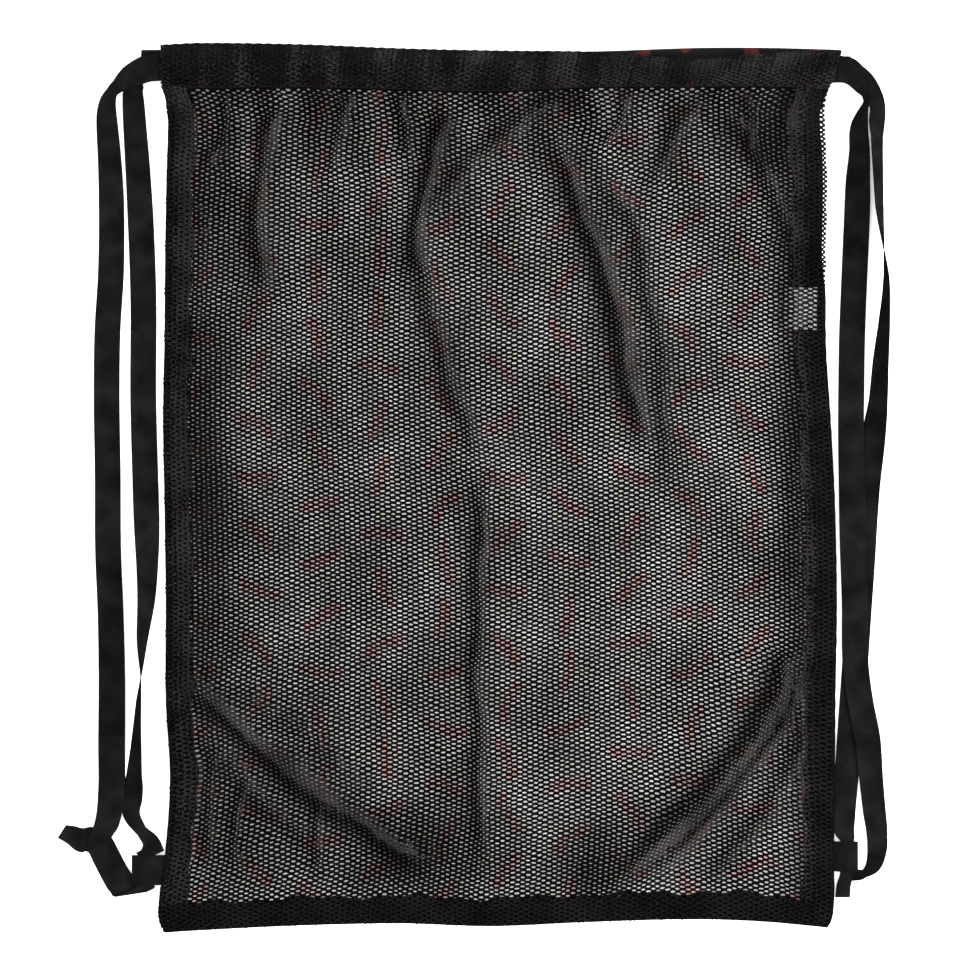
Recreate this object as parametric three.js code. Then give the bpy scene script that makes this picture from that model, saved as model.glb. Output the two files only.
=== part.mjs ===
// A drawstring net bag lying flat on its back panel, mouth towards +Y. Millimetres, +Z up.
// The net of the front panel is one closed wall here; its holes are too many for a solid.
import * as THREE from 'three';

// Cloth and tape
const CLOTH = 1;
const GAP = 0.3; // clearance between neighbouring pieces
const LAYER = CLOTH + GAP; // rise from one layer of the stack to the next
const TAPE_WIDTH = 19;

// Height of the middle of each wall above the floor
const BACK_Z = CLOTH / 2;
const SEAM_Z = BACK_Z + LAYER;
const EDGE_Z = SEAM_Z + LAYER; // sewn edge of the front panel
const CROWN_Z = 10.5; // front panel away from its edges
const STITCH_Z = 12.5; // front panel at the stitch line below the casing
const CASING_Z = 14.5; // outer wall of the front casing
const CASING_LAYERS = 3; // two tapes and the hem lie inside a casing wall

// Shape of the panels
const EDGE_RUN = 34; // distance from the sewn edge over which the front panel rises
const SLIT_FOOT = 262; // the side seams end here and the mouth begins
const HEM_RAMP = 3; // the hem leaves the panel over this distance above the stitch line
const FOLD_STEPS = 4;
const EDGE_SLOPE_STEP = 1;
const FRONT_COLUMNS = 32;
const FRONT_ROWS = 34;
const BACK_COLUMNS = 16;
const BACK_ROWS = 14;

// Gathers that hang from the casing
const GATHER_PITCH = 68;
const GATHER_RISE = 1.2;
const GATHER_FALL = 60;

// Seam allowances, tabs and label
const SEAM_WIDTH = { left: 19.5, right: 21, bottom: 20 };
const SEAM_ROWS = 9;
const SEAM_CORNER = -300; // below this the inner edge of a side allowance runs straight down
const NOTCH_STEP = 0.5;
const TAB_WIDTH = 22;
const TAB_ROOT = 8; // how far a tab reaches into the seam
const TAB_THICK = 1;
const TAB_STAND = 2.5; // from the seam to the eye of the tab
const TAB_Z = 3.3; // middle of the eye
const TAB_HALF_HEIGHT = 1.9;
const TAB_JOIN = { low: 240, high: 205 }; // where the root meets the eye, in degrees round it
const TAB_CURVE_STEPS = 12;
const TABS = {
  left: { y: -278, reach: 23 },
  right: { y: -268, reach: 18 },
};
const LABEL = { inset: 6, width: 24, low: 116, high: 147 };

// Drawcords
const ROUTE_STEPS = 2; // sections made for each row of a route
const LEAST_SLANT = 0.8; // least sine between a tape's width and its heading that lengthens its section
const RUN_STEPS = 20;
const LOOP_STEPS = 6;
const LOOP_STRAIGHT = 6; // from the end of the casing to the turn of the far loop
const GATHERED_WIDTH = 0.32; // width and offset of a tape inside, as shares of the casing's depth
const GATHERED_SHIFT = 0.2;

// Left and right edges of the bag at each height of the picture
const SIDES = [
  { y: -323, left: -243, right: 238 },
  { y: -315, left: -247, right: 243 },
  { y: -300, left: -247, right: 245 },
  { y: -271, left: -243, right: 245 },
  { y: -212, left: -239, right: 245.5 },
  { y: -154, left: -242, right: 246 },
  { y: -81, left: -242, right: 247 },
  { y: -8, left: -243, right: 245.5 },
  { y: 50, left: -244, right: 242.5 },
  { y: 109, left: -243, right: 239 },
  { y: 167, left: -242.5, right: 239.5 },
  { y: 226, left: -241.5, right: 240.5 },
  { y: 266, left: -240.5, right: 239 },
  { y: 284, left: -242, right: 239 },
  { y: 293, left: -244.5, right: 242 },
  { y: 306, left: -245.5, right: 247 },
  { y: 326, left: -245, right: 252 },
];

// Bottom edge, stitch line of the casing and the two top edges across the bag
const ENDS = [
  { x: -246, bottom: -324, stitch: 294, frontTop: 323.5, backTop: 320.5 },
  { x: -217, bottom: -322, stitch: 291.5, frontTop: 325, backTop: 321 },
  { x: -144, bottom: -318.5, stitch: 292, frontTop: 324, backTop: 320.5 },
  { x: -71, bottom: -317, stitch: 290.5, frontTop: 321, backTop: 319 },
  { x: -5, bottom: -319, stitch: 289, frontTop: 319.5, backTop: 319 },
  { x: 67, bottom: -316, stitch: 292, frontTop: 318.5, backTop: 319.5 },
  { x: 140, bottom: -314, stitch: 292.5, frontTop: 313.5, backTop: 322 },
  { x: 191, bottom: -315.5, stitch: 292.5, frontTop: 318, backTop: 322 },
  { x: 246, bottom: -320.5, stitch: 291, frontTop: 319.5, backTop: 320.5 },
];

// Raised folds of the front panel: start, middle and end of each crest, its half width and its rise
const FOLDS = [
  { x0: 47, y0: 258, x1: 98, y1: 138, x2: 115, y2: 0, width: 15, rise: 5.5 },
  { x0: 206, y0: -110, x1: 148, y1: -209, x2: 75, y2: -293, width: 18, rise: 5 },
  { x0: -217, y0: -147, x1: -130, y1: -220, x2: -49, y2: -285, width: 14, rise: 4 },
  { x0: -31, y0: 282, x1: -54, y1: 225, x2: -64, y2: 172, width: 13, rise: 4 },
  { x0: -64, y0: 180, x1: -38, y1: 100, x2: -9, y2: 12, width: 13, rise: 4 },
  { x0: -9, y0: 25, x1: -13, y1: -140, x2: -10, y2: -290, width: 13, rise: 3 },
  { x0: 60, y0: 286, x1: -5, y1: 247, x2: -52, y2: 186, width: 13, rise: 3.5 },
  { x0: -155, y0: 284, x1: -177, y1: 222, x2: -168, y2: 123, width: 15, rise: 3.5 },
  { x0: 148, y0: 284, x1: 124, y1: 255, x2: 115, y2: 215, width: 12, rise: 3 },
  { x0: 159, y0: 272, x1: 181, y1: 236, x2: 203, y2: 196, width: 13, rise: 3 },
];
const FOLD_SEGMENTS = 12;
const FOLD_TAPER = 0.18; // share of a fold's length over which its ends die out

// The part of a drawcord inside a casing, from its own exit to the far end
const RUN = [
  { share: 0, inner: 0, gathered: 0 },
  { share: 0.1, inner: 0, gathered: 1 },
  { share: 0.44, inner: 0, gathered: 1 },
  { share: 0.56, inner: 1, gathered: 1 },
  { share: 0.9, inner: 1, gathered: 1 },
  { share: 1, inner: 1, gathered: 0 },
];

// Routes of the free tapes from the casing down. z is the height of the tape's lower edge, turn the
// direction of its width seen from above and tilt the slope of its width, both in degrees.
const ROUTES = {
  drawcord_left_front: [
    { x: -246, y: 307.2, z: 13.2, turn: 90, tilt: 0, width: 19 },
    { x: -257.5, y: 304.8, z: 13.2, turn: 103, tilt: 0, width: 19 },
    { x: -267.5, y: 299.5, z: 12.7, turn: 126, tilt: 0, width: 16.5 },
    { x: -275.5, y: 293.2, z: 11, turn: 140, tilt: 12, width: 10.5 },
    { x: -280.6, y: 288.5, z: 9.2, turn: 150, tilt: 18, width: 9 },
    { x: -283.4, y: 282.5, z: 7.2, turn: 162, tilt: 12, width: 12 },
    { x: -284.7, y: 274, z: 4.8, turn: 173, tilt: 6, width: 14.6 },
    { x: -284.6, y: 264, z: 2.6, turn: 180, tilt: 0, width: 16 },
    { x: -283.4, y: 246, z: 1.1, turn: 180, tilt: 0, width: 17 },
    { x: -281.8, y: 211, z: 0.85, turn: 180, tilt: 0, width: 18.5 },
    { x: -282, y: 160, z: 0.85, turn: 180, tilt: 0, width: 19 },
    { x: -284.6, y: 115, z: 0.85, turn: 180, tilt: 0, width: 19 },
    { x: -285.2, y: 65, z: 0.85, turn: 180, tilt: 0, width: 19 },
    { x: -284.4, y: 10, z: 0.85, turn: 180, tilt: 0, width: 19 },
    { x: -284.2, y: -44, z: 0.85, turn: 180, tilt: 0, width: 19 },
    { x: -282.3, y: -92, z: 0.85, turn: 180, tilt: 0, width: 19 },
    { x: -281.4, y: -139, z: 1, turn: 180, tilt: 0, width: 19.5 },
    { x: -281.4, y: -185, z: 2.8, turn: 180, tilt: 0, width: 19.8 },
    { x: -281.6, y: -222, z: 3.2, turn: 180, tilt: 0, width: 19.5 },
    { x: -284.5, y: -243, z: 3.2, turn: 187, tilt: 0, width: 18 },
    { x: -290.5, y: -258, z: 3.2, turn: 202, tilt: 0, width: 15.5 },
  ],
  drawcord_left_back: [
    { x: -246, y: 307.2, z: 1.8, turn: 90, tilt: 0, width: 19 },
    { x: -256.5, y: 306, z: 1.75, turn: 96, tilt: 0, width: 19 },
    { x: -264.8, y: 301.2, z: 1.5, turn: 135, tilt: 0, width: 17 },
    { x: -266, y: 291.5, z: 1.1, turn: 172, tilt: 0, width: 14.5 },
    { x: -265.6, y: 281, z: 0.85, turn: 178, tilt: 0, width: 16.2 },
    { x: -264.6, y: 264, z: 0.85, turn: 180, tilt: 0, width: 17 },
    { x: -262.9, y: 240, z: 0.85, turn: 180, tilt: 0, width: 18 },
    { x: -260.4, y: 196, z: 0.85, turn: 180, tilt: 0, width: 19 },
    { x: -258.4, y: 138, z: 0.85, turn: 180, tilt: 0, width: 19 },
    { x: -258.5, y: 65, z: 0.85, turn: 180, tilt: 0, width: 19 },
    { x: -257, y: 7, z: 0.85, turn: 180, tilt: 0, width: 19 },
    { x: -255.9, y: -23, z: 1.2, turn: 180, tilt: 14, width: 19 },
    { x: -255.1, y: -52, z: 1.2, turn: 180, tilt: 36, width: 19 },
    { x: -255.6, y: -81, z: 1.2, turn: 180, tilt: 52, width: 19 },
    { x: -258.4, y: -110, z: 1.2, turn: 180, tilt: 70, width: 19 },
    { x: -259.3, y: -135, z: 1.2, turn: 180, tilt: 93, width: 19 },
    { x: -261, y: -154, z: 1.2, turn: 180, tilt: 105, width: 19 },
    { x: -262.2, y: -172, z: 1.2, turn: 180, tilt: 111, width: 19 },
    { x: -263.2, y: -190, z: 1.2, turn: 180, tilt: 120, width: 19 },
    { x: -264.6, y: -209, z: 1, turn: 180, tilt: 131, width: 19 },
    { x: -266.3, y: -226, z: 0.85, turn: 180, tilt: 165, width: 15.5 },
    { x: -266.9, y: -238, z: 1.1, turn: 195, tilt: 180, width: 12.5 },
    { x: -259.5, y: -249.5, z: 2.2, turn: 226, tilt: 180, width: 8.5 },
    { x: -252.8, y: -257.2, z: 3, turn: 200, tilt: 180, width: 12.5 },
    { x: -252.6, y: -263.8, z: 3.3, turn: 184, tilt: 180, width: 16.8 },
    { x: -255.7, y: -266.6, z: 3.3, turn: 180, tilt: 180, width: 12.4 },
    { x: -255.4, y: -278, z: 3.3, turn: 178, tilt: 180, width: 12 },
    { x: -256.2, y: -289.6, z: 3.3, turn: 180, tilt: 180, width: 11 },
    { x: -261, y: -293, z: 3, turn: 186, tilt: 180, width: 15 },
    { x: -266, y: -295, z: 2.5, turn: 188, tilt: 180, width: 18 },
    { x: -267.8, y: -295.6, z: 1.8, turn: 189, tilt: 180, width: 18.5 },
    { x: -269.5, y: -294.6, z: 1, turn: 190, tilt: 180, width: 19.5 },
    { x: -273.5, y: -289.5, z: 0.8, turn: 196, tilt: 180, width: 21 },
    { x: -279, y: -281, z: 0.85, turn: 206, tilt: 180, width: 20.5 },
    { x: -285.5, y: -268.5, z: 0.85, turn: 208, tilt: 180, width: 20.5 },
    { x: -291, y: -258.8, z: 0.85, turn: 218, tilt: 180, width: 20 },
    { x: -297.3, y: -255.9, z: 0.85, turn: 248, tilt: 180, width: 18 },
    { x: -304.3, y: -256.3, z: 0.85, turn: 264, tilt: 180, width: 17.5 },
    { x: -312, y: -252.4, z: 0.85, turn: 256, tilt: 180, width: 13.4 },
    { x: -317.9, y: -249.9, z: 0.85, turn: 237, tilt: 180, width: 11 },
  ],
  drawcord_right_front: [
    { x: 247, y: 305.8, z: 13.2, turn: 90, tilt: 0, width: 19 },
    { x: 256, y: 304, z: 13.2, turn: 75, tilt: 0, width: 18.5 },
    { x: 263, y: 297.5, z: 12.4, turn: 50, tilt: 15, width: 15 },
    { x: 267.2, y: 289.5, z: 9.5, turn: 25, tilt: 50, width: 10.5 },
    { x: 268.4, y: 282.5, z: 6.8, turn: 5, tilt: 70, width: 8.5 },
    { x: 265.9, y: 275.5, z: 4, turn: 0, tilt: 60, width: 12.5 },
    { x: 263.9, y: 268, z: 2, turn: 0, tilt: 48, width: 15.5 },
    { x: 263.2, y: 260, z: 1.4, turn: 0, tilt: 38, width: 16.5 },
    { x: 263.7, y: 247, z: 1.2, turn: 0, tilt: 36, width: 17.5 },
    { x: 262.7, y: 226, z: 1.1, turn: 0, tilt: 26, width: 19 },
    { x: 262.4, y: 204, z: 0.95, turn: 0, tilt: 10, width: 19 },
    { x: 260.3, y: 152, z: 1.1, turn: 0, tilt: 0, width: 19 },
    { x: 258.6, y: 110, z: 2.4, turn: 0, tilt: 0, width: 19 },
    { x: 258, y: 78, z: 3.6, turn: 0, tilt: 0, width: 19 },
    { x: 257.7, y: 40, z: 4.3, turn: 0, tilt: 0, width: 19 },
    { x: 258.2, y: 5, z: 3.6, turn: 0, tilt: 0, width: 19 },
    { x: 259, y: -37, z: 2.5, turn: 0, tilt: 0, width: 19 },
    { x: 260.5, y: -81, z: 2.5, turn: 0, tilt: 0, width: 19 },
    { x: 261, y: -125, z: 2.5, turn: 0, tilt: 0, width: 19 },
    { x: 264.5, y: -154, z: 2.5, turn: 0, tilt: 0, width: 19 },
    { x: 270, y: -183, z: 2.5, turn: 5, tilt: 0, width: 19 },
    { x: 272.6, y: -212, z: 2.4, turn: 5, tilt: 0, width: 17.5 },
    { x: 275, y: -235, z: 1.2, turn: 4, tilt: 0, width: 16.8 },
    { x: 276.8, y: -250, z: 0.9, turn: -3, tilt: 0, width: 15.6 },
    { x: 276.8, y: -263, z: 0.9, turn: -18, tilt: 8, width: 14.5 },
    { x: 273.6, y: -274, z: 0.9, turn: -45, tilt: 25, width: 12.5 },
    { x: 267.5, y: -280.3, z: 0.8, turn: -68, tilt: 50, width: 8 },
    { x: 259.5, y: -281.8, z: 0.75, turn: -88, tilt: 0, width: 8.5 },
    { x: 250, y: -281.2, z: 0.75, turn: -90, tilt: 0, width: 9 },
  ],
  drawcord_right_back: [
    { x: 247, y: 306.3, z: 1.8, turn: 90, tilt: 0, width: 18 },
    { x: 258, y: 303.6, z: 1.7, turn: 70, tilt: 0, width: 17.5 },
    { x: 267.5, y: 296, z: 1.4, turn: 48, tilt: -5, width: 17.5 },
    { x: 274.2, y: 287, z: 1.1, turn: 26, tilt: -18, width: 14.5 },
    { x: 277, y: 278, z: 1, turn: 8, tilt: -32, width: 14.2 },
    { x: 276.5, y: 268, z: 1.1, turn: 0, tilt: -37, width: 15.5 },
    { x: 276.3, y: 257, z: 1.2, turn: 0, tilt: -53, width: 16.5 },
    { x: 276.4, y: 246, z: 1.2, turn: 0, tilt: -58, width: 18 },
    { x: 277.1, y: 226, z: 1.2, turn: 0, tilt: -63, width: 19 },
    { x: 278, y: 204, z: 1.2, turn: 0, tilt: -67, width: 19 },
    { x: 280.2, y: 182, z: 1.2, turn: 0, tilt: -79, width: 19 },
    { x: 282.8, y: 153, z: 1.2, turn: 0, tilt: -97, width: 19 },
    { x: 281.4, y: 123, z: 1.2, turn: 0, tilt: -110, width: 19 },
    { x: 278.9, y: 94, z: 1.2, turn: 0, tilt: -122, width: 19 },
    { x: 277, y: 64, z: 1.2, turn: 0, tilt: -131, width: 19 },
    { x: 273.4, y: 34, z: 1, turn: 0, tilt: -156, width: 19 },
    { x: 270.2, y: 7, z: 0.85, turn: 0, tilt: -176, width: 19 },
    { x: 268, y: -22, z: 0.85, turn: 0, tilt: -180, width: 19 },
    { x: 266.2, y: -52, z: 0.85, turn: 0, tilt: -180, width: 19 },
    { x: 263.4, y: -92, z: 0.85, turn: 0, tilt: -180, width: 19 },
    { x: 260.8, y: -130, z: 0.85, turn: 0, tilt: -180, width: 19 },
    { x: 257.4, y: -172, z: 0.85, turn: 0, tilt: -180, width: 18 },
    { x: 254.6, y: -212, z: 0.85, turn: 0, tilt: -180, width: 17.5 },
    { x: 253.4, y: -240, z: 1.6, turn: 0, tilt: -180, width: 15.2 },
    { x: 253.1, y: -251, z: 2.6, turn: 0, tilt: -180, width: 14.4 },
    { x: 255, y: -257.2, z: 3.25, turn: 0, tilt: -180, width: 9.5 },
    { x: 255.2, y: -268, z: 3.3, turn: 0, tilt: -180, width: 9.5 },
    { x: 254.8, y: -280, z: 3.2, turn: 0, tilt: -180, width: 9.5 },
    { x: 252.6, y: -289, z: 1.7, turn: 0, tilt: -180, width: 10.5 },
    { x: 251.8, y: -298, z: 1, turn: 0, tilt: -180, width: 11 },
  ],
};

const UP = new THREE.Vector3(0, 0, 1);
const { lerp, clamp, smoothstep, degToRad } = THREE.MathUtils;

// Value of a column at a place along a table, on a smooth curve through the rows
function along(table, key, column, at) {
  const last = table.length - 1;
  const place = clamp(at, table[0][key], table[last][key]);
  const i = clamp(table.findIndex((row) => row[key] >= place) - 1, 0, last - 1);
  const slope = (k) => {
    const before = table[Math.max(k - 1, 0)];
    const after = table[Math.min(k + 1, last)];
    return (after[column] - before[column]) / (after[key] - before[key]);
  };
  const [from, to] = [table[i], table[i + 1]];
  const span = to[key] - from[key];
  const t = (place - from[key]) / span;
  const ease = t * t * (3 - 2 * t);
  const bend = t * (1 - t) * span * ((1 - t) * slope(i) - t * slope(i + 1));
  return lerp(from[column], to[column], ease) + bend;
}

const sideAt = (side, y) => along(SIDES, 'y', side, y);
const endAt = (end, x) => along(ENDS, 'x', end, x);

// Closed wall about a sheet of rows of { point, normal }
function wall(rows, thickness = CLOTH) {
  const columns = rows[0].length;
  const cells = rows.flat();
  const inner = cells.length;
  const position = [1, -1].flatMap((face) =>
    cells.flatMap(({ point, normal }) =>
      point.clone().addScaledVector(normal, (face * thickness) / 2).toArray()));
  const index = [];
  for (let i = 0; i + 1 < rows.length; i += 1) {
    for (let j = 0; j + 1 < columns; j += 1) {
      const a = i * columns + j;
      const [b, d] = [a + 1, a + columns];
      const c = d + 1;
      index.push(a, b, c, a, c, d);
      index.push(inner + a, inner + c, inner + b, inner + a, inner + d, inner + c);
    }
  }
  const rim = (a, b) => index.push(inner + a, inner + b, b, inner + a, b, a);
  const top = (rows.length - 1) * columns;
  for (let j = 0; j + 1 < columns; j += 1) {
    rim(j, j + 1);
    rim(top + j + 1, top + j);
  }
  for (let i = 0; i + 1 < rows.length; i += 1) {
    rim((i + 1) * columns, i * columns);
    rim((i + 1) * columns - 1, (i + 2) * columns - 1);
  }
  return new THREE.BufferGeometry()
    .setAttribute('position', new THREE.Float32BufferAttribute(position, 3))
    .setIndex(index);
}

// Crest height of one fold at a point, from its distance to the fold's curve
function foldRise(fold, x, y) {
  const at = (t) => {
    const [a, b, c] = [2 * (t - 0.5) * (t - 1), 4 * t * (1 - t), 2 * t * (t - 0.5)];
    return {
      x: a * fold.x0 + b * fold.x1 + c * fold.x2,
      y: a * fold.y0 + b * fold.y1 + c * fold.y2,
    };
  };
  let nearest = { distance: Infinity, share: 0 };
  for (let k = 0; k < FOLD_SEGMENTS; k += 1) {
    const [p, q] = [at(k / FOLD_SEGMENTS), at((k + 1) / FOLD_SEGMENTS)];
    const [dx, dy] = [q.x - p.x, q.y - p.y];
    const t = clamp(((x - p.x) * dx + (y - p.y) * dy) / (dx * dx + dy * dy), 0, 1);
    const distance = Math.hypot(x - p.x - t * dx, y - p.y - t * dy);
    if (distance < nearest.distance) nearest = { distance, share: (k + t) / FOLD_SEGMENTS };
  }
  const fade = smoothstep(Math.min(nearest.share, 1 - nearest.share), 0, FOLD_TAPER);
  return fold.rise * fade * Math.exp(-((nearest.distance / fold.width) ** 2));
}

const edgeRise = (distance) => Math.sin((Math.PI / 2) * clamp(distance / EDGE_RUN, 0, 1));

// Height of the middle of the front panel below its stitch line
function frontHeight(x, y) {
  const free =
    edgeRise(x - sideAt('left', y)) *
    edgeRise(sideAt('right', y) - x) *
    edgeRise(y - endAt('bottom', x));
  const folds = FOLDS.reduce((sum, fold) => sum + foldRise(fold, x, y), 0);
  const drop = endAt('stitch', x) - y;
  const mouth = smoothstep(y, SLIT_FOOT, endAt('stitch', x));
  const hang = smoothstep(drop, 0, GATHER_FALL / 4) * (1 - smoothstep(drop, GATHER_FALL / 4, GATHER_FALL));
  const gathers = GATHER_RISE * hang * free * Math.sin((2 * Math.PI * x) / GATHER_PITCH);
  return lerp(EDGE_Z + free * (CROWN_Z - EDGE_Z + folds), STITCH_Z, mouth) + gathers;
}

function frontNormal(x, y) {
  const h = EDGE_SLOPE_STEP;
  const slopeX = (frontHeight(x + h, y) - frontHeight(x - h, y)) / (2 * h);
  const slopeY = (frontHeight(x, y + h) - frontHeight(x, y - h)) / (2 * h);
  return new THREE.Vector3(-slopeX, -slopeY, 1).normalize();
}

// Profile of a folded casing above the stitch line: along the wall, round the fold and back as a hem.
// inward is +1 where the hem lies above its wall and -1 where it lies below.
function casingProfile(stitch, top, joinZ, wallZ, inward) {
  const hemZ = wallZ + inward * CASING_LAYERS * LAYER;
  const radius = Math.abs(hemZ - wallZ) / 2;
  const centre = { y: top - CLOTH / 2 - radius, z: (wallZ + hemZ) / 2 };
  const ramp = stitch + HEM_RAMP;
  const end = { y: stitch + GAP, z: joinZ + inward * LAYER };
  const drop = Math.atan2(Math.abs(hemZ - end.z), ramp - end.y);
  const rows = [
    { y: ramp, z: wallZ, tilt: 0 },
    { y: (ramp + centre.y) / 2, z: wallZ, tilt: 0 },
  ];
  for (let k = 0; k <= FOLD_STEPS; k += 1) {
    const angle = (Math.PI * k) / FOLD_STEPS;
    rows.push({
      y: centre.y + radius * Math.sin(angle),
      z: centre.z - inward * radius * Math.cos(angle),
      tilt: inward * angle,
    });
  }
  rows.push({ y: (ramp + centre.y) / 2, z: hemZ, tilt: inward * Math.PI });
  rows.push({ y: ramp, z: hemZ, tilt: inward * (Math.PI + drop / 2) });
  rows.push({ y: end.y, z: end.z, tilt: inward * (Math.PI + drop) });
  return rows;
}

// Sheet of a whole panel, body and casing, in rows from the bottom edge up
function panelRows({ columns, rows, top, joinZ, wallZ, inward, height, normalAt }) {
  const acrossAt = (u, y) => lerp(sideAt('left', y), sideAt('right', y), u);
  const shares = Array.from({ length: columns + 1 }, (_, j) => j / columns);
  const sheet = [];
  for (let i = 0; i <= rows; i += 1) {
    sheet.push(shares.map((u) => {
      const guess = lerp(SIDES[0].y, ENDS[0].stitch, i / rows);
      const nominal = acrossAt(u, guess);
      const y = lerp(endAt('bottom', nominal), endAt('stitch', nominal), i / rows);
      const x = acrossAt(u, y);
      return { point: new THREE.Vector3(x, y, height(x, y)), normal: normalAt(x, y) };
    }));
  }
  const profiles = shares.map((u) => {
    const x = acrossAt(u, ENDS[0].stitch);
    return casingProfile(endAt('stitch', x), endAt(top, x), joinZ, wallZ, inward);
  });
  profiles[0].forEach((_, k) => {
    sheet.push(shares.map((u, j) => {
      const { y, z, tilt } = profiles[j][k];
      return {
        point: new THREE.Vector3(acrossAt(u, y), y, z),
        normal: new THREE.Vector3(0, -Math.sin(tilt), Math.cos(tilt)),
      };
    }));
  });
  return sheet;
}

const flat = (x, y, z) => ({ point: new THREE.Vector3(x, y, z), normal: UP });

function frontPanel() {
  return wall(panelRows({
    columns: FRONT_COLUMNS,
    rows: FRONT_ROWS,
    top: 'frontTop',
    joinZ: STITCH_Z,
    wallZ: CASING_Z,
    inward: -1,
    height: frontHeight,
    normalAt: frontNormal,
  }));
}

function backPanel() {
  return wall(panelRows({
    columns: BACK_COLUMNS,
    rows: BACK_ROWS,
    top: 'backTop',
    joinZ: BACK_Z,
    wallZ: BACK_Z,
    inward: 1,
    height: () => BACK_Z,
    normalAt: () => UP,
  }));
}

const OUTWARD = { left: -1, right: 1 };
const seamInner = (side, y) => sideAt(side, Math.max(y, SEAM_CORNER)) - OUTWARD[side] * SEAM_WIDTH[side];

// Allowance along one side seam, stepped in round the root of the tab
function sideSeam(side) {
  const { y: tabY } = TABS[side];
  const notch = TAB_WIDTH / 2 + GAP;
  const root = sideAt(side, tabY) - OUTWARD[side] * (TAB_ROOT + GAP);
  const atEdge = (y) => ({ y, outer: sideAt(side, y) });
  const above = tabY + notch + NOTCH_STEP;
  const stops = [
    atEdge(endAt('bottom', sideAt(side, SIDES[0].y))),
    atEdge(SEAM_CORNER),
    atEdge(tabY - notch - NOTCH_STEP),
    { y: tabY - notch, outer: root },
    { y: tabY + notch, outer: root },
    ...Array.from({ length: SEAM_ROWS + 1 }, (_, k) => atEdge(lerp(above, SLIT_FOOT, k / SEAM_ROWS))),
  ];
  return wall(stops.map(({ y, outer }) =>
    [outer, seamInner(side, y)].sort((a, b) => a - b).map((x) => flat(x, y, SEAM_Z))));
}

// Allowance along the bottom seam, between the two side allowances
function bottomSeam() {
  const left = seamInner('left', SEAM_CORNER) + GAP;
  const right = seamInner('right', SEAM_CORNER) - GAP;
  const across = Array.from({ length: SEAM_ROWS + 1 }, (_, j) => lerp(left, right, j / SEAM_ROWS));
  return wall([0, SEAM_WIDTH.bottom].map((rise) =>
    across.map((x) => flat(x, endAt('bottom', x) + rise, SEAM_Z))));
}

// Tape loop sewn into a side seam: a root between the panels and an open eye outside
function tab(side) {
  const { y, reach } = TABS[side];
  const half = (reach - TAB_STAND) / 2;
  const centre = half + TAB_STAND;
  const [rootLow, rootHigh] = [SEAM_Z - TAB_THICK / 2, SEAM_Z + TAB_THICK / 2];
  const [from, to] = [degToRad(TAB_JOIN.low), degToRad(TAB_JOIN.high + 360)];
  const shape = new THREE.Shape();
  shape.moveTo(-TAB_ROOT, rootLow);
  shape.lineTo(TAB_STAND, rootLow);
  shape.absellipse(centre, TAB_Z, half, TAB_HALF_HEIGHT, from, to, false);
  shape.lineTo(GAP, rootHigh);
  shape.lineTo(-TAB_ROOT, rootHigh);
  shape.closePath();
  const eye = new THREE.Path();
  eye.absellipse(centre, TAB_Z, half - TAB_THICK, TAB_HALF_HEIGHT - TAB_THICK, 0, 2 * Math.PI, true);
  shape.holes.push(eye);
  const geometry = new THREE.ExtrudeGeometry(shape, {
    depth: TAB_WIDTH,
    bevelEnabled: false,
    curveSegments: TAB_CURVE_STEPS,
  });
  geometry.translate(0, 0, -TAB_WIDTH / 2).rotateX(Math.PI / 2);
  if (side === 'left') geometry.rotateZ(Math.PI);
  return geometry.translate(sideAt(side, y), y, 0);
}

function careLabel() {
  return wall([LABEL.low, LABEL.high].map((y) => {
    const edge = sideAt('right', y) - LABEL.inset;
    return [flat(edge - LABEL.width, y, EDGE_Z), flat(edge, y, EDGE_Z)];
  }));
}

// Tape through sections of { point, side, width }, where side is the direction of its width
function tape(sections) {
  return wall(sections.map(({ point, side, width }, i) => {
    const before = sections[Math.max(i - 1, 0)].point;
    const after = sections[Math.min(i + 1, sections.length - 1)].point;
    const heading = after.clone().sub(before).normalize();
    const normal = side.clone().cross(heading);
    const length = width / Math.max(normal.length(), LEAST_SLANT);
    normal.normalize();
    return [-1, 1].map((end) => ({
      point: point.clone().addScaledVector(side, (end * length) / 2),
      normal,
    }));
  }));
}

function freeTape(route) {
  const rows = route.map((row) => ({
    ...row,
    z: row.z + (row.width / 2) * Math.abs(Math.sin(degToRad(row.tilt))),
  }));
  const curve = new THREE.CatmullRomCurve3(rows.map(({ x, y, z }) => new THREE.Vector3(x, y, z)));
  const count = (rows.length - 1) * ROUTE_STEPS;
  return tape(Array.from({ length: count + 1 }, (_, k) => {
    const i = Math.min(Math.floor(k / ROUTE_STEPS), rows.length - 2);
    const t = k / ROUTE_STEPS - i;
    const mix = (column) => lerp(rows[i][column], rows[i + 1][column], t);
    const [turn, tilt] = [degToRad(mix('turn')), degToRad(mix('tilt'))];
    const side = new THREE.Vector3(
      Math.cos(turn) * Math.cos(tilt), Math.sin(turn) * Math.cos(tilt), Math.sin(tilt));
    return { point: curve.getPoint(k / count), side, width: mix('width') };
  }));
}

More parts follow.
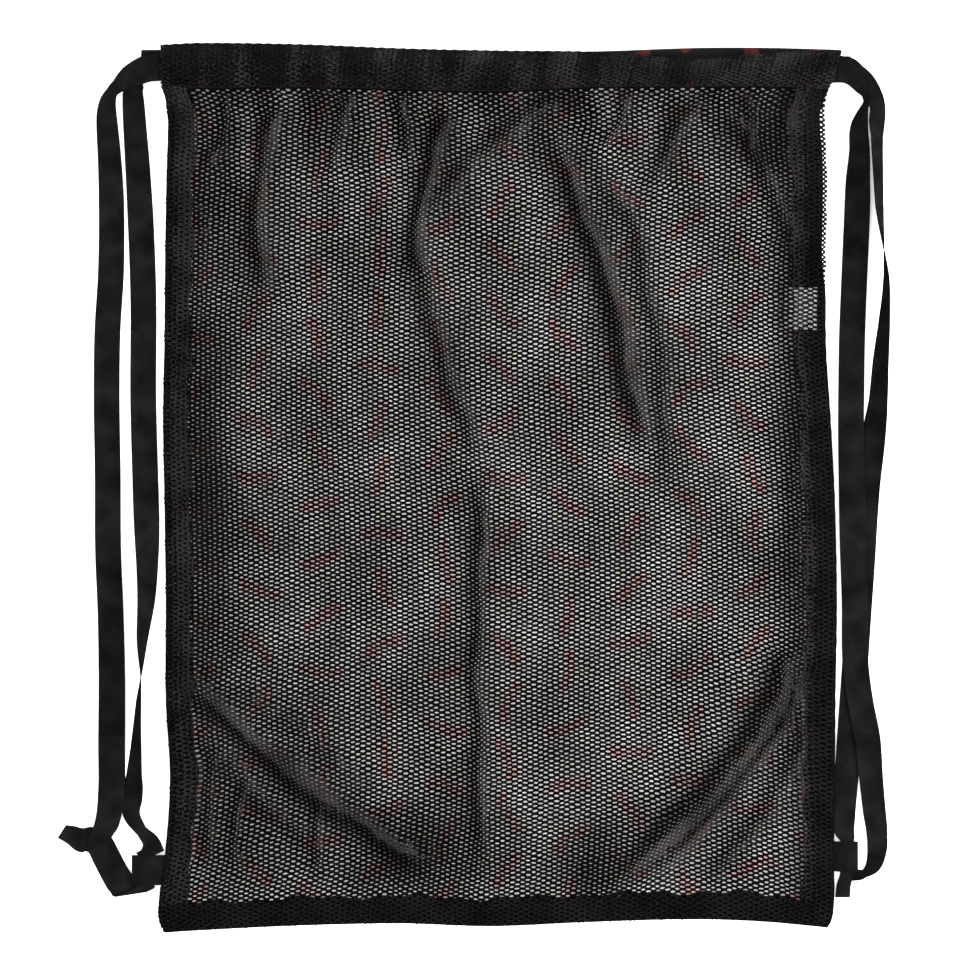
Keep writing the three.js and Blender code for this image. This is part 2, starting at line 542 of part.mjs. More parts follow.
// Tape inside the casings: along the front one, round the far end of the mouth and back
function casingTape(side) {
  const outward = OUTWARD[side];
  const far = side === 'left' ? 'right' : 'left';
  const across = new THREE.Vector3(0, 1, 0);
  const sectionAt = (share, top, outerZ, inwardZ) => {
    const level = (endAt('stitch', 0) + endAt(top, 0)) / 2;
    const x = lerp(sideAt(side, level), sideAt(far, level), share);
    const [low, high] = [endAt('stitch', x), endAt(top, x)];
    const at = (column) => {
      const i = Math.min(RUN.findIndex((row) => row.share >= share), RUN.length - 1) || 1;
      const t = (share - RUN[i - 1].share) / (RUN[i].share - RUN[i - 1].share);
      return lerp(RUN[i - 1][column], RUN[i][column], t);
    };
    const shift = -outward * GATHERED_SHIFT * (high - low) * at('gathered');
    return {
      point: new THREE.Vector3(x, (low + high) / 2 + shift, outerZ + inwardZ * LAYER * at('inner')),
      side: across,
      width: lerp(TAPE_WIDTH, GATHERED_WIDTH * (high - low), at('gathered')),
    };
  };
  const shares = Array.from({ length: RUN_STEPS + 1 }, (_, k) => k / RUN_STEPS);
  const front = shares.map((share) => sectionAt(share, 'frontTop', CASING_Z - LAYER, -1));
  const back = shares.map((share) => sectionAt(share, 'backTop', BACK_Z + LAYER, 1)).reverse();
  const [start, end] = [front[RUN_STEPS].point, back[0].point];
  const radius = (start.z - end.z) / 2;
  const turns = Array.from({ length: LOOP_STEPS + 1 }, (_, k) => {
    const angle = (Math.PI * k) / LOOP_STEPS;
    return {
      point: new THREE.Vector3(
        lerp(start.x, end.x, k / LOOP_STEPS) - outward * (LOOP_STRAIGHT + radius * Math.sin(angle)),
        lerp(start.y, end.y, k / LOOP_STEPS),
        end.z + radius * (1 + Math.cos(angle)),
      ),
      side: across,
      width: TAPE_WIDTH,
    };
  });
  return tape([...front, ...turns, ...back]);
}

const cloth = new THREE.MeshStandardMaterial({ color: 0x1c1c1e, roughness: 0.9 });
const tapeCloth = new THREE.MeshStandardMaterial({ color: 0x242426, roughness: 0.7 });
const labelCloth = new THREE.MeshStandardMaterial({ color: 0xe8e8e6, roughness: 0.9 });

const bag = new THREE.Group();
bag.name = 'mesh_swim_bag';

function add(name, geometry, material) {
  const mesh = new THREE.Mesh(geometry, material);
  mesh.name = name;
  bag.add(mesh);
}

add('front_panel', frontPanel(), cloth);
add('back_panel', backPanel(), cloth);
add('seam_left', sideSeam('left'), cloth);
add('seam_right', sideSeam('right'), cloth);
add('seam_bottom', bottomSeam(), cloth);
add('tab_left', tab('left'), tapeCloth);
add('tab_right', tab('right'), tapeCloth);
add('care_label', careLabel(), labelCloth);
for (const [name, route] of Object.entries(ROUTES)) add(name, freeTape(route), tapeCloth);
add('drawcord_left_run', casingTape('left'), tapeCloth);
add('drawcord_right_run', casingTape('right'), tapeCloth);

export default bag;
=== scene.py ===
"""Looks of a mesh swim bag that lies flat: net front, printed back, casing and tape drawcords.

Metres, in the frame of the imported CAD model: +Y towards the mouth, +Z up, floor at 0.
"""

import math

import bpy
import numpy as np
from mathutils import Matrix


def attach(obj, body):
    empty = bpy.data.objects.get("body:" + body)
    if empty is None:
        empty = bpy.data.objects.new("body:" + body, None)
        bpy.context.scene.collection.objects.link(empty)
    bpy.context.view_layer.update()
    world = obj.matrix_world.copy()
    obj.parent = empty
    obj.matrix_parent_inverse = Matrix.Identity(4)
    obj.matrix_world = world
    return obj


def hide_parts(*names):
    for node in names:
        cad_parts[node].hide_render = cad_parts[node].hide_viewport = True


# Photograph's frame
FRAME_PIXELS = (978, 979)
PIXEL = 0.00073  # metres on the floor for one pixel
FRAME_CENTRE = (-0.0062, -0.0004)
CAMERA_LENS = 150.0
CAMERA_SENSOR = 36.0

# Layers of cloth, as in the CAD source
LAYER = 0.0013
BACK_Z = 0.0005
SEAM_Z = BACK_Z + LAYER
EDGE_Z = SEAM_Z + LAYER
CROWN_Z = 0.0105
STITCH_Z = 0.0125
CASING_Z = 0.0145
CASING_LAYERS = 3
CLOTH = 0.001
GAP = 0.0003

# Shape of the panels
EDGE_RUN = 0.034
SLIT_FOOT = 0.262
HEM_RAMP = 0.003
GATHER_PITCH = 0.068
GATHER_RISE = 0.0012
GATHER_FALL = 0.060
CRUMPLE_RISE = 0.0005
BILLOW_RISE = 0.0006
PANEL_WIDTH = 0.486  # flat width of a panel between its side seams
PANEL_HEIGHT = 0.612  # flat height from the bottom seam to the stitch line
CASING_CUT = 0.066  # flat height of the cloth folded over as the casing

# Uneven waves: wave in metres, phase
RIPPLES = {
    "ridge_x": (0.020, 0.9),
    "ridge_y": (0.024, 2.1),
    "crumple": (0.021, 0.6),
    "billow": (0.047, 1.9),
    "back": (0.06, 0.4),
    "knot_x": (0.0045, 0.6),
    "knot_y": (0.0052, 1.1),
    "holes": (0.03, 0.2),
    "casing_holes": (0.02, 0.5),
    "gathers": (0.011, 0.8),
    # wave of the painted shade in soft uneven patches on the cloth behind the net
    "mottled_shade": (0.011, 0.5),
    "backed_sheen_yarn": (0.0009, 0.4),
    "lit_yarn": (0.0009, 1.3),
    "misty_sheen_yarn": (0.0009, 0.9),
    "seam": (0.012, 0.3),
    "label": (0.01, 0.7),
}
STREAK = 0.3  # gathers change this much slower up the bag than across it

# Net: pitch of the holes and the half sizes of one hole in its cell
NET_COLUMN = 0.00368
NET_ROW = 0.00344
HOLE_TIP = 0.47
HOLE_SHOULDER = 0.24
HOLE_RISE = 0.19
STRAND_ROUND = 0.75  # how far the normal at the rim of a hole leans into it
LEAST_FACE = 0.002  # smallest face kept, as a share of a cell
NET_SWAY = 0.0005  # how far the net's knots lie off its grid

# Size of the holes, as shares of their full size
BASE_OPEN = (0.93, 0.975)  # on the left and on the right of the span
BASE_SPAN = (-0.17, 0.17)
OPEN_WANDER = 0.06
OPEN_LIMITS = (0.12, 1.05)
SEWN_OPEN = 0.12  # the holes look wider where the net is sewn down
GATHER_CLOSED = (0.21, 0.13)  # gathers below the stitch line close the holes, less beyond the span
GATHER_SPAN = (0.10, 0.19)
GATHER_DEPTH = 0.05
GATHER_SHARES = (0.4, 1.3)  # even and rippling parts of that closing
CASING_CLOSED = 1.02  # the casing's holes close round its fold
CASING_CLOSED_HALF = 0.20

# Where each kind of yarn lies; the scatters blur its borders
# inward of this, the yarn over a side seam takes the copy with painted sheen and glints
DARK_EDGE = {"left": 0.0055, "right": 0.016}  # yarn over a seam is darker this far in from the bag's edge
DARK_SCATTER = 0.004
# painted highlight: above this share the yarn on the gentle side of a ridge takes its lighter, lit copy
LIT_LEAST = 0.40  # the yarn catches the light above this share on the gentle side of a ridge
LIT_SCATTER = 0.4
# painted sheen: the grey yarn takes over above this share, in the small folds
MISTY_SHEEN_LEAST = 0.26
MISTY_SHEEN_SCATTER = 0.25
# painted sheen and painted shade: the casing's yarn switches in streaks between its lighter and darker copies
CASING_LEAST = (0.8, -0.5)  # the casing's yarn is lighter where a ripple passes this, left end and right end
CASING_SCATTER = 0.7

# Seams, tabs and label
SEAM_WIDTH = {"left": 0.0195, "right": 0.021, "bottom": 0.020}
SEAM_CORNER = -0.300
SEAM_SWAY = 0.0012  # how far the seams' inner edges wander
SEAM_SWAY_WAVES = (0.0125, 0.0047)
SEAM_WAVE = 0.0003
SEAM_THICK = 0.0007
SEAM_ROWS = 160
SEAM_COLUMNS = 10
SEAM_FOOT_RUN = 0.03  # the side seams' rows bend to the bottom edge over this height
LABEL_WIDENING = 0.004  # the right seam widens by this over the span, from the label up
LABEL_SPAN = (0.10, 0.14)
SET_BACK = 0.0036  # the right seam lies this far inside the net's edge below the slit
SET_BACK_SPAN = (0.135, 0.175, 0.272, 0.288)
SLIT_LAP = 0.004
SLIT_DROP = 0.0009
SLIT_THICK = 0.0005
SLIT_ROWS = 24
TABS = {"left": (-0.278, 0.023), "right": (-0.268, 0.018)}  # height up the side, reach
TAB_WIDTH = 0.022
TAB_ROOT = 0.008
TAB_STAND = 0.0025
TAB_LEG = 0.6  # the legs end at this share of the stand
TAB_LEG_STEPS = 8
TAB_SPREAD = 0.6  # the legs' distance from the seam, in thicknesses
TAB_TURN = (200, 520)  # degrees from the lower leg round the eye to the upper
TAB_TURN_STEPS = 40
TAB_Z = 0.0033
TAB_RISE = 0.0015
TAB_THICK = 0.0006
LABEL = {"inset": 0.006, "width": 0.024, "low": 0.116, "high": 0.147}
LABEL_ROWS = 16
LABEL_COLUMNS = 12
LABEL_BULGE = 0.0004
LABEL_WAVE = 0.0002
LABEL_THICK = 0.0004

# Rolled edge along the left side, bottom and right side
ROLL_Z = 0.0021
ROLL_HALF = (0.0012, 0.0013)
ROLL_INSET = {"left": 0.0012, "right": 0.0005}
ROLL_CORNER = 0.004
ROLL_TAPER = 0.012  # the roll thins out over this length at its ends
ROLL_TIP = 0.1
ROLL_SWELL = 0.12
ROLL_SWELL_WAVES = (0.0021, 0.0173)
ROLL_SIDE_STEPS = 180
ROLL_BOTTOM_STEPS = 150
ROLL_SIDES = 10

# Drawcord tape
TAPE_WIDTH = 0.019
TAPE_THICK = 0.0009
TAPE_STEPS = 8
LEAST_SLANT = 0.8  # least sine between a tape's width and its heading that lengthens its section
RUN_STEPS = 60
LOOP_STEPS = 16
LOOP_STRAIGHT = 0.006
GATHERED_WIDTH = 0.32
GATHERED_SHIFT = 0.2
OUTWARD = {"left": -1, "right": 1}
FAR_ENDS = {
    "drawcord_left_front": "object",
    "drawcord_left_back": "bare",
    "drawcord_right_front": "object",
    "drawcord_right_back": "bare",
}

# Tape in the casings: share of the way, share on the inner layer, share gathered
RUN = np.array([(0, 0, 0), (0.1, 0, 1), (0.44, 0, 1), (0.56, 1, 1), (0.9, 1, 1), (1, 1, 0)])

# Cross-section of a tape: place across its half width, height in half thicknesses
TAPE_PROFILE = np.array([
    (-1, 0), (-0.985, 0.62), (-0.94, 1), (-0.88, 0.98), (-0.83, 0.8), (-0.45, 0.84), (0, 0.86),
    (0.45, 0.84), (0.83, 0.8), (0.88, 0.98), (0.94, 1), (0.985, 0.62), (1, 0),
])

# Back panel and casings
BACK_LIFT = 0.0002
BACK_WAVE = 0.0014
BACK_FREE = (0.02, 0.06)  # the wave grows over these distances from the seams
BACK_FLAT = (0.24, 0.28)  # and dies away between these heights
BACK_THICK = 0.0005
BACK_COLUMNS = 140
BACK_ROWS = 170
CASING_ROWS = 40
CASING_STOPS = (0, 0.06, 0.45, 0.55, 0.94, 1)  # ends of ramp, wall, fold, hem and end ramp along the casing
PUCKER_RISE = 0.0026
FLAP_REACH = 0.0145  # the back casing's left end stands out past the front casing
FLAP_SHARP = 60
FLAP_LOW, FLAP_HIGH = 0.3125, 0.3150

# Stitches: thread's length, gap and radius, then its shape: place along, radius, height
STITCH_LENGTH = 0.0026
STITCH_GAP = 0.0007
STITCH_INSET = 0.003
STITCH_STEPS = 400
THREAD_RADIUS = 0.00024
THREAD_GIRTH = 0.001
THREAD_SIDES = 6
THREAD_PROFILE = np.array([(0, 0.3, -0.6), (0.12, 0.9, 0.1), (0.5, 1, 0.4), (0.88, 0.9, 0.1), (1, 0.3, -0.6)])
HEM_STITCH = (0.0006, 0.0004)  # above the stitch line: distance from it, height
NET_STITCH = (-0.0050, 0.0002)  # below it, on the net

# Print of the back cloth
PRINT_PITCH = (0.045, 0.041)
PRINT_TURN = 3.1
DASH_HALF = 0.0120
DASH_RADIUS = 0.0044
DASH_BOW = 9.0
DOT_PLACE = -0.0125  # beside the dash
DOT_RADIUS = 0.0032

# Sides of the back cloth: darker and lighter ground, dash, dot, strength of the ink, softness of its edges
PRINTS = {
    "cloth_inside": ((0.68, 0.646, 0.653), (0.97, 0.931, 0.941), (0.86, 0.38, 0.35), (0.90, 0.82, 0.56),
                     0.85, 0.0028),
    "cloth_printed": ((0.002,) * 3, (0.004,) * 3, (0.055, 0.011, 0.009), (0.015, 0.040, 0.011), 1.0, 0.0004),
}
INK_WORN = 0.45  # share of the ink where it is most worn

# Net's yarn and its lighter copies that stand for painted sheen and highlight, in the order of their numbers:
# darkest and lightest tone
YARNS = (
    ("net_black", 0.0001, 0.0020),
    # painted sheen: lighter copy of the yarn with painted glints, where it lies over the seams and the casing
    ("net_backed_sheen", 0.0003, 0.0170),  # lying on a seam or casing
    # painted sheen: grey copy of the yarn, lighter than the plain one, over the seams and the casing and in
    # small folds
    ("net_misty_sheen", 0.0006, 0.0062),  # darker yarn on seams and casing, and bunched in small folds
    # painted highlight: lighter copy of the yarn for the lit side of the ridges
    ("net_lit", 0.0010, 0.0240),  # on the gentle side of a ridge
)
PLAIN, BACKED_SHEEN, MISTY_SHEEN, LIT = range(len(YARNS))

# Other cloths' darkest and lightest tone, and the tints of the lightest
TONES = {"tape": (0.0021, 0.0078), "seam": (0.0004, 0.0011), "label": (0.37, 0.50), "thread": (0.002, 0.005),
         "floor": (0.92, 0.96)}
TINTS = {"net": (1, 0.92, 0.90), "tape": (1, 0.99, 0.98), "label": (1, 1, 0.98)}
LABEL_DARK_TINT = (1, 0.99, 0.96)

# Noise in the colours: scale, detail; and the part of a tone's range that is spread from dark to light
NOISES = {"net": (28.0, 3.0), "net_fine": (900.0, 2.0), "tape": (60.0, 3.0), "cloth": (70.0, 4.0),
          "wear": (110.0, 2.0), "label": (180.0, 3.0), "floor": (2.0, 2.0)}
NET_FADE = 0.5
RANGES = {"net": (0.59, 0.91), "tape": (0.45, 0.95), "cloth": (0.25, 0.75), "wear": (0.36, 0.64)}

# Surfaces: roughness, specular, sheen, sheen roughness, bump distance, bump strength
SURFACES = {
    "net": (0.7, 0.01, 0.0, 0.4, 0.00006, 0.5),
    "tape": (0.55, 0.0, 0.0, 0.35, 0.00008, 0.45),
    "back": (0.75, 0.06, 0.02, 0.5, 0.00006, 0.4),
    "seam": (0.8, 0.03, 0.0, 0.5, 0.00006, 0.4),
    "label": (0.5, 0.3, 0.1, 0.4, 0.00004, 0.4),
    "thread": (0.45, 0.1, 0.02, 0.4, 0.00005, 0.5),
}
WAVE_PITCH = 2 * math.pi / 20  # pitch of a wave texture's bands at scale 1
WAVE_DISTORTION = 0.6
NET_YARN, NET_SLANT = 0.00042, 0.9  # pitch and slant of the yarns, in metres and radians
TWILL, TWILL_SLANT, TWILL_SHARE = 0.0011, 0.7, 0.35
TAPE_RIB = 0.0007
TWIST, TWIST_SLANT = 0.0006, 0.8
WEAVE = 0.0006
LABEL_WEAVE = 0.0004

# Light
DOME_STRENGTH = 2.2
FLOOR_GLOW = 0.35
FLOOR_Z = -0.0006
FLOOR_HALF = 3.0
LIGHTS = (
    ("key", (2.3, -0.5, 1.6), 1.2, 130.0),  # place, size and power
)

# Left and right edges of the bag: y, left, right
SIDES = np.array([
    (-0.323, -0.243, 0.238),
    (-0.315, -0.247, 0.243),
    (-0.3, -0.247, 0.245),
    (-0.271, -0.243, 0.245),
    (-0.212, -0.239, 0.2455),
    (-0.154, -0.242, 0.246),
    (-0.081, -0.242, 0.247),
    (-0.008, -0.243, 0.2455),
    (0.05, -0.244, 0.2425),
    (0.109, -0.243, 0.239),
    (0.167, -0.2425, 0.2395),
    (0.226, -0.2415, 0.2405),
    (0.266, -0.2405, 0.239),
    (0.284, -0.242, 0.239),
    (0.293, -0.2445, 0.242),
    (0.306, -0.2455, 0.247),
    (0.326, -0.245, 0.252),
])

# Bottom edge, stitch line and top edges across the bag: x, bottom, stitch, front top, back top
ENDS = np.array([
    (-0.246, -0.324, 0.294, 0.3235, 0.3205),
    (-0.217, -0.322, 0.2915, 0.325, 0.321),
    (-0.144, -0.3185, 0.292, 0.324, 0.3205),
    (-0.071, -0.317, 0.2905, 0.321, 0.319),
    (-0.005, -0.319, 0.289, 0.3195, 0.319),
    (0.067, -0.316, 0.292, 0.3185, 0.3195),
    (0.14, -0.314, 0.2925, 0.3135, 0.322),
    (0.191, -0.3155, 0.2925, 0.318, 0.322),
    (0.246, -0.3205, 0.291, 0.3195, 0.3205),
])
END_COLUMN = {"bottom": 1, "stitch": 2, "front_top": 3, "back_top": 4}

# Raised folds of the front panel: start, middle and end of the crest, half width, rise
FOLDS = np.array([
    (0.047, 0.258, 0.098, 0.138, 0.115, 0.0, 0.015, 0.0055),
    (0.206, -0.11, 0.148, -0.209, 0.075, -0.293, 0.018, 0.005),
    (-0.217, -0.147, -0.13, -0.22, -0.049, -0.285, 0.014, 0.004),
    (-0.031, 0.282, -0.054, 0.225, -0.064, 0.172, 0.013, 0.004),
    (-0.064, 0.18, -0.038, 0.1, -0.009, 0.012, 0.013, 0.004),
    (-0.009, 0.025, -0.013, -0.14, -0.01, -0.29, 0.013, 0.003),
    (0.06, 0.286, -0.005, 0.247, -0.052, 0.186, 0.013, 0.0035),
    (-0.155, 0.284, -0.177, 0.222, -0.168, 0.123, 0.015, 0.0035),
    (0.148, 0.284, 0.124, 0.255, 0.115, 0.215, 0.012, 0.003),
    (0.159, 0.272, 0.181, 0.236, 0.203, 0.196, 0.013, 0.003),
])
FOLD_SEGMENTS = 12
FOLD_TAPER = 0.18
FOLD_SHARE = 0.5  # the rest of a fold is in its ridge

# Routes of the free tapes: x, y, height of the lower edge, turn and tilt in degrees, width
ROUTES = {
    "drawcord_left_front": [
        (-0.246, 0.3072, 0.0132, 90, 0, 0.019),
        (-0.2575, 0.3048, 0.0132, 103, 0, 0.019),
        (-0.2675, 0.2995, 0.0127, 126, 0, 0.0165),
        (-0.2755, 0.2932, 0.011, 140, 12, 0.0105),
        (-0.2806, 0.2885, 0.0092, 150, 18, 0.009),
        (-0.2834, 0.2825, 0.0072, 162, 12, 0.012),
        (-0.2847, 0.274, 0.0048, 173, 6, 0.0146),
        (-0.2846, 0.264, 0.0026, 180, 0, 0.016),
        (-0.2834, 0.246, 0.0011, 180, 0, 0.017),
        (-0.2818, 0.211, 0.00085, 180, 0, 0.0185),
        (-0.282, 0.16, 0.00085, 180, 0, 0.019),
        (-0.2846, 0.115, 0.00085, 180, 0, 0.019),
        (-0.2852, 0.065, 0.00085, 180, 0, 0.019),
        (-0.2844, 0.01, 0.00085, 180, 0, 0.019),
        (-0.2842, -0.044, 0.00085, 180, 0, 0.019),
        (-0.2823, -0.092, 0.00085, 180, 0, 0.019),
        (-0.2814, -0.139, 0.001, 180, 0, 0.0195),
        (-0.2814, -0.185, 0.0028, 180, 0, 0.0198),
        (-0.2816, -0.222, 0.0032, 180, 0, 0.0195),
        (-0.2845, -0.243, 0.0032, 187, 0, 0.018),
        (-0.2905, -0.258, 0.0032, 202, 0, 0.0155),
    ],
    "drawcord_left_back": [
        (-0.246, 0.3072, 0.0018, 90, 0, 0.019),
        (-0.2565, 0.306, 0.00175, 96, 0, 0.019),
        (-0.2648, 0.3012, 0.0015, 135, 0, 0.017),
        (-0.266, 0.2915, 0.0011, 172, 0, 0.0145),
        (-0.2656, 0.281, 0.00085, 178, 0, 0.0162),
        (-0.2646, 0.264, 0.00085, 180, 0, 0.017),
        (-0.2629, 0.24, 0.00085, 180, 0, 0.018),
        (-0.2604, 0.196, 0.00085, 180, 0, 0.019),
        (-0.2584, 0.138, 0.00085, 180, 0, 0.019),
        (-0.2585, 0.065, 0.00085, 180, 0, 0.019),
        (-0.257, 0.007, 0.00085, 180, 0, 0.019),
        (-0.2559, -0.023, 0.0012, 180, 14, 0.019),
        (-0.2551, -0.052, 0.0012, 180, 36, 0.019),
        (-0.2556, -0.081, 0.0012, 180, 52, 0.019),
        (-0.2584, -0.11, 0.0012, 180, 70, 0.019),
        (-0.2593, -0.135, 0.0012, 180, 93, 0.019),
        (-0.261, -0.154, 0.0012, 180, 105, 0.019),
        (-0.2622, -0.172, 0.0012, 180, 111, 0.019),
        (-0.2632, -0.19, 0.0012, 180, 120, 0.019),
        (-0.2646, -0.209, 0.001, 180, 131, 0.019),
        (-0.2663, -0.226, 0.00085, 180, 165, 0.0155),
        (-0.2669, -0.238, 0.0011, 195, 180, 0.0125),
        (-0.2595, -0.2495, 0.0022, 226, 180, 0.0085),
        (-0.2528, -0.2572, 0.003, 200, 180, 0.0125),
        (-0.2526, -0.2638, 0.0033, 184, 180, 0.0168),
        (-0.2557, -0.2666, 0.0033, 180, 180, 0.0124),
        (-0.2554, -0.278, 0.0033, 178, 180, 0.012),
        (-0.2562, -0.2896, 0.0033, 180, 180, 0.011),
        (-0.261, -0.293, 0.003, 186, 180, 0.015),
        (-0.266, -0.295, 0.0025, 188, 180, 0.018),
        (-0.2678, -0.2956, 0.0018, 189, 180, 0.0185),
        (-0.2695, -0.2946, 0.001, 190, 180, 0.0195),
        (-0.2735, -0.2895, 0.0008, 196, 180, 0.021),
        (-0.279, -0.281, 0.00085, 206, 180, 0.0205),
        (-0.2855, -0.2685, 0.00085, 208, 180, 0.0205),
        (-0.291, -0.2588, 0.00085, 218, 180, 0.02),
        (-0.2973, -0.2559, 0.00085, 248, 180, 0.018),
        (-0.3043, -0.2563, 0.00085, 264, 180, 0.0175),
        (-0.312, -0.2524, 0.00085, 256, 180, 0.0134),
        (-0.3179, -0.2499, 0.00085, 237, 180, 0.011),
    ],
    "drawcord_right_front": [
        (0.247, 0.3058, 0.0132, 90, 0, 0.019),
        (0.256, 0.304, 0.0132, 75, 0, 0.0185),
        (0.263, 0.2975, 0.0124, 50, 15, 0.015),
        (0.2672, 0.2895, 0.0095, 25, 50, 0.0105),
        (0.2684, 0.2825, 0.0068, 5, 70, 0.0085),
        (0.2659, 0.2755, 0.004, 0, 60, 0.0125),
        (0.2639, 0.268, 0.002, 0, 48, 0.0155),
        (0.2632, 0.26, 0.0014, 0, 38, 0.0165),
        (0.2637, 0.247, 0.0012, 0, 36, 0.0175),
        (0.2627, 0.226, 0.0011, 0, 26, 0.019),
        (0.2624, 0.204, 0.00095, 0, 10, 0.019),
        (0.2603, 0.152, 0.0011, 0, 0, 0.019),
        (0.2586, 0.11, 0.0024, 0, 0, 0.019),
        (0.258, 0.078, 0.0036, 0, 0, 0.019),
        (0.2577, 0.04, 0.0043, 0, 0, 0.019),
        (0.2582, 0.005, 0.0036, 0, 0, 0.019),
        (0.259, -0.037, 0.0025, 0, 0, 0.019),
        (0.2605, -0.081, 0.0025, 0, 0, 0.019),
        (0.261, -0.125, 0.0025, 0, 0, 0.019),
        (0.2645, -0.154, 0.0025, 0, 0, 0.019),
        (0.27, -0.183, 0.0025, 5, 0, 0.019),
        (0.2726, -0.212, 0.0024, 5, 0, 0.0175),
        (0.275, -0.235, 0.0012, 4, 0, 0.0168),
        (0.2768, -0.25, 0.0009, -3, 0, 0.0156),
        (0.2768, -0.263, 0.0009, -18, 8, 0.0145),
        (0.2736, -0.274, 0.0009, -45, 25, 0.0125),
        (0.2675, -0.2803, 0.0008, -68, 50, 0.008),
        (0.2595, -0.2818, 0.00075, -88, 0, 0.0085),
        (0.25, -0.2812, 0.00075, -90, 0, 0.009),
    ],
    "drawcord_right_back": [
        (0.247, 0.3063, 0.0018, 90, 0, 0.018),
        (0.258, 0.3036, 0.0017, 70, 0, 0.0175),
        (0.2675, 0.296, 0.0014, 48, -5, 0.0175),
        (0.2742, 0.287, 0.0011, 26, -18, 0.0145),
        (0.277, 0.278, 0.001, 8, -32, 0.0142),
        (0.2765, 0.268, 0.0011, 0, -37, 0.0155),
        (0.2763, 0.257, 0.0012, 0, -53, 0.0165),
        (0.2764, 0.246, 0.0012, 0, -58, 0.018),
        (0.2771, 0.226, 0.0012, 0, -63, 0.019),
        (0.278, 0.204, 0.0012, 0, -67, 0.019),
        (0.2802, 0.182, 0.0012, 0, -79, 0.019),
        (0.2828, 0.153, 0.0012, 0, -97, 0.019),
        (0.2814, 0.123, 0.0012, 0, -110, 0.019),
        (0.2789, 0.094, 0.0012, 0, -122, 0.019),
        (0.277, 0.064, 0.0012, 0, -131, 0.019),
        (0.2734, 0.034, 0.001, 0, -156, 0.019),
        (0.2702, 0.007, 0.00085, 0, -176, 0.019),
        (0.268, -0.022, 0.00085, 0, -180, 0.019),
        (0.2662, -0.052, 0.00085, 0, -180, 0.019),
        (0.2634, -0.092, 0.00085, 0, -180, 0.019),
        (0.2608, -0.13, 0.00085, 0, -180, 0.019),
        (0.2574, -0.172, 0.00085, 0, -180, 0.018),
        (0.2546, -0.212, 0.00085, 0, -180, 0.0175),
        (0.2534, -0.24, 0.0016, 0, -180, 0.0152),
        (0.2531, -0.251, 0.0026, 0, -180, 0.0144),
        (0.255, -0.2572, 0.00325, 0, -180, 0.0095),
        (0.2552, -0.268, 0.0033, 0, -180, 0.0095),
        (0.2548, -0.28, 0.0032, 0, -180, 0.0095),
        (0.2526, -0.289, 0.0017, 0, -180, 0.0105),
        (0.2518, -0.298, 0.001, 0, -180, 0.011),
    ],
}

# Ridges of the front net: start, middle and end of the crest, half widths on its left and right, rise
RIDGES = np.array([
    (0.035, 0.262, 0.079, 0.149, 0.105, 0.018, 0.0120, 0.0065, 0.0080),
    (0.069, 0.247, 0.115, 0.138, 0.122, -0.017, 0.0100, 0.0060, 0.0036),
    (-0.033, 0.280, -0.053, 0.215, -0.060, 0.145, 0.0100, 0.0065, 0.0065),
    (-0.059, 0.182, -0.038, 0.094, -0.011, 0.015, 0.0100, 0.0065, 0.0042),
    (-0.011, 0.025, -0.014, -0.125, -0.011, -0.300, 0.0090, 0.0060, 0.0050),
    (0.068, 0.288, 0.005, 0.258, -0.051, 0.188, 0.0110, 0.0065, 0.0035),
    (-0.155, 0.284, -0.172, 0.218, -0.168, 0.127, 0.0100, 0.0065, 0.0050),
    (-0.236, -0.130, -0.140, -0.215, -0.046, -0.278, 0.0140, 0.0080, 0.0080),
    (-0.201, -0.128, -0.132, -0.184, -0.085, -0.222, 0.0090, 0.0055, 0.0018),
    (0.209, -0.111, 0.179, -0.185, 0.073, -0.299, 0.0120, 0.0065, 0.0080),
    (0.222, -0.125, 0.196, -0.192, 0.097, -0.301, 0.0090, 0.0055, 0.0062),
    (0.152, 0.288, 0.127, 0.251, 0.115, 0.218, 0.0090, 0.0060, 0.0040),
    (0.161, 0.275, 0.196, 0.229, 0.215, 0.171, 0.0090, 0.0060, 0.0034),
    (-0.197, 0.288, -0.201, 0.262, -0.214, 0.233, 0.0080, 0.0040, 0.0030),
    (-0.111, 0.290, -0.115, 0.262, -0.122, 0.226, 0.0080, 0.0040, 0.0040),
    (-0.070, 0.290, -0.068, 0.266, -0.073, 0.240, 0.0080, 0.0040, 0.0040),
    (0.091, 0.290, 0.087, 0.269, 0.075, 0.247, 0.0080, 0.0040, 0.0040),
    (0.181, 0.290, 0.186, 0.266, 0.181, 0.237, 0.0080, 0.0040, 0.0028),
    (-0.225, -0.176, -0.181, -0.220, -0.118, -0.275, 0.0090, 0.0055, 0.0026),
    (-0.206, -0.190, -0.213, -0.232, -0.214, -0.278, 0.0060, 0.0045, 0.0035),
    (-0.180, -0.208, -0.189, -0.242, -0.190, -0.280, 0.0060, 0.0045, 0.0035),
    (-0.128, -0.226, -0.132, -0.252, -0.129, -0.282, 0.0060, 0.0045, 0.0030),
    (0.226, -0.165, 0.205, -0.225, 0.140, -0.300, 0.0090, 0.0055, 0.0034),
    (0.222, 0.070, 0.216, -0.030, 0.222, -0.130, 0.0090, 0.0060, 0.0018),
    (-0.222, 0.230, -0.218, 0.160, -0.222, 0.090, 0.0060, 0.0060, 0.0016),
])
RIDGE_PULL = 1.1  # net drawn into a ridge, as a share of its rise
RIDGE_REACH = 0.045  # how far from the crest the pull is felt
PULL_RUN = 0.02  # the pull and the ridges grow over these distances from the sewn edges
RIDGE_RUN = 0.012
RIDGE_SWAY = 0.0028  # how far the crests wander
FULL_RISE = 0.007  # ridges of this rise close the holes most
STEEP_PLACE = 0.7  # the holes close on the right of a crest, at this share of its half width
STEEP_CLOSED = 0.32
GENTLE_PLACE = 0.5  # and on its left
GENTLE_WIDTH = 0.55
GENTLE_CLOSED = 0.36

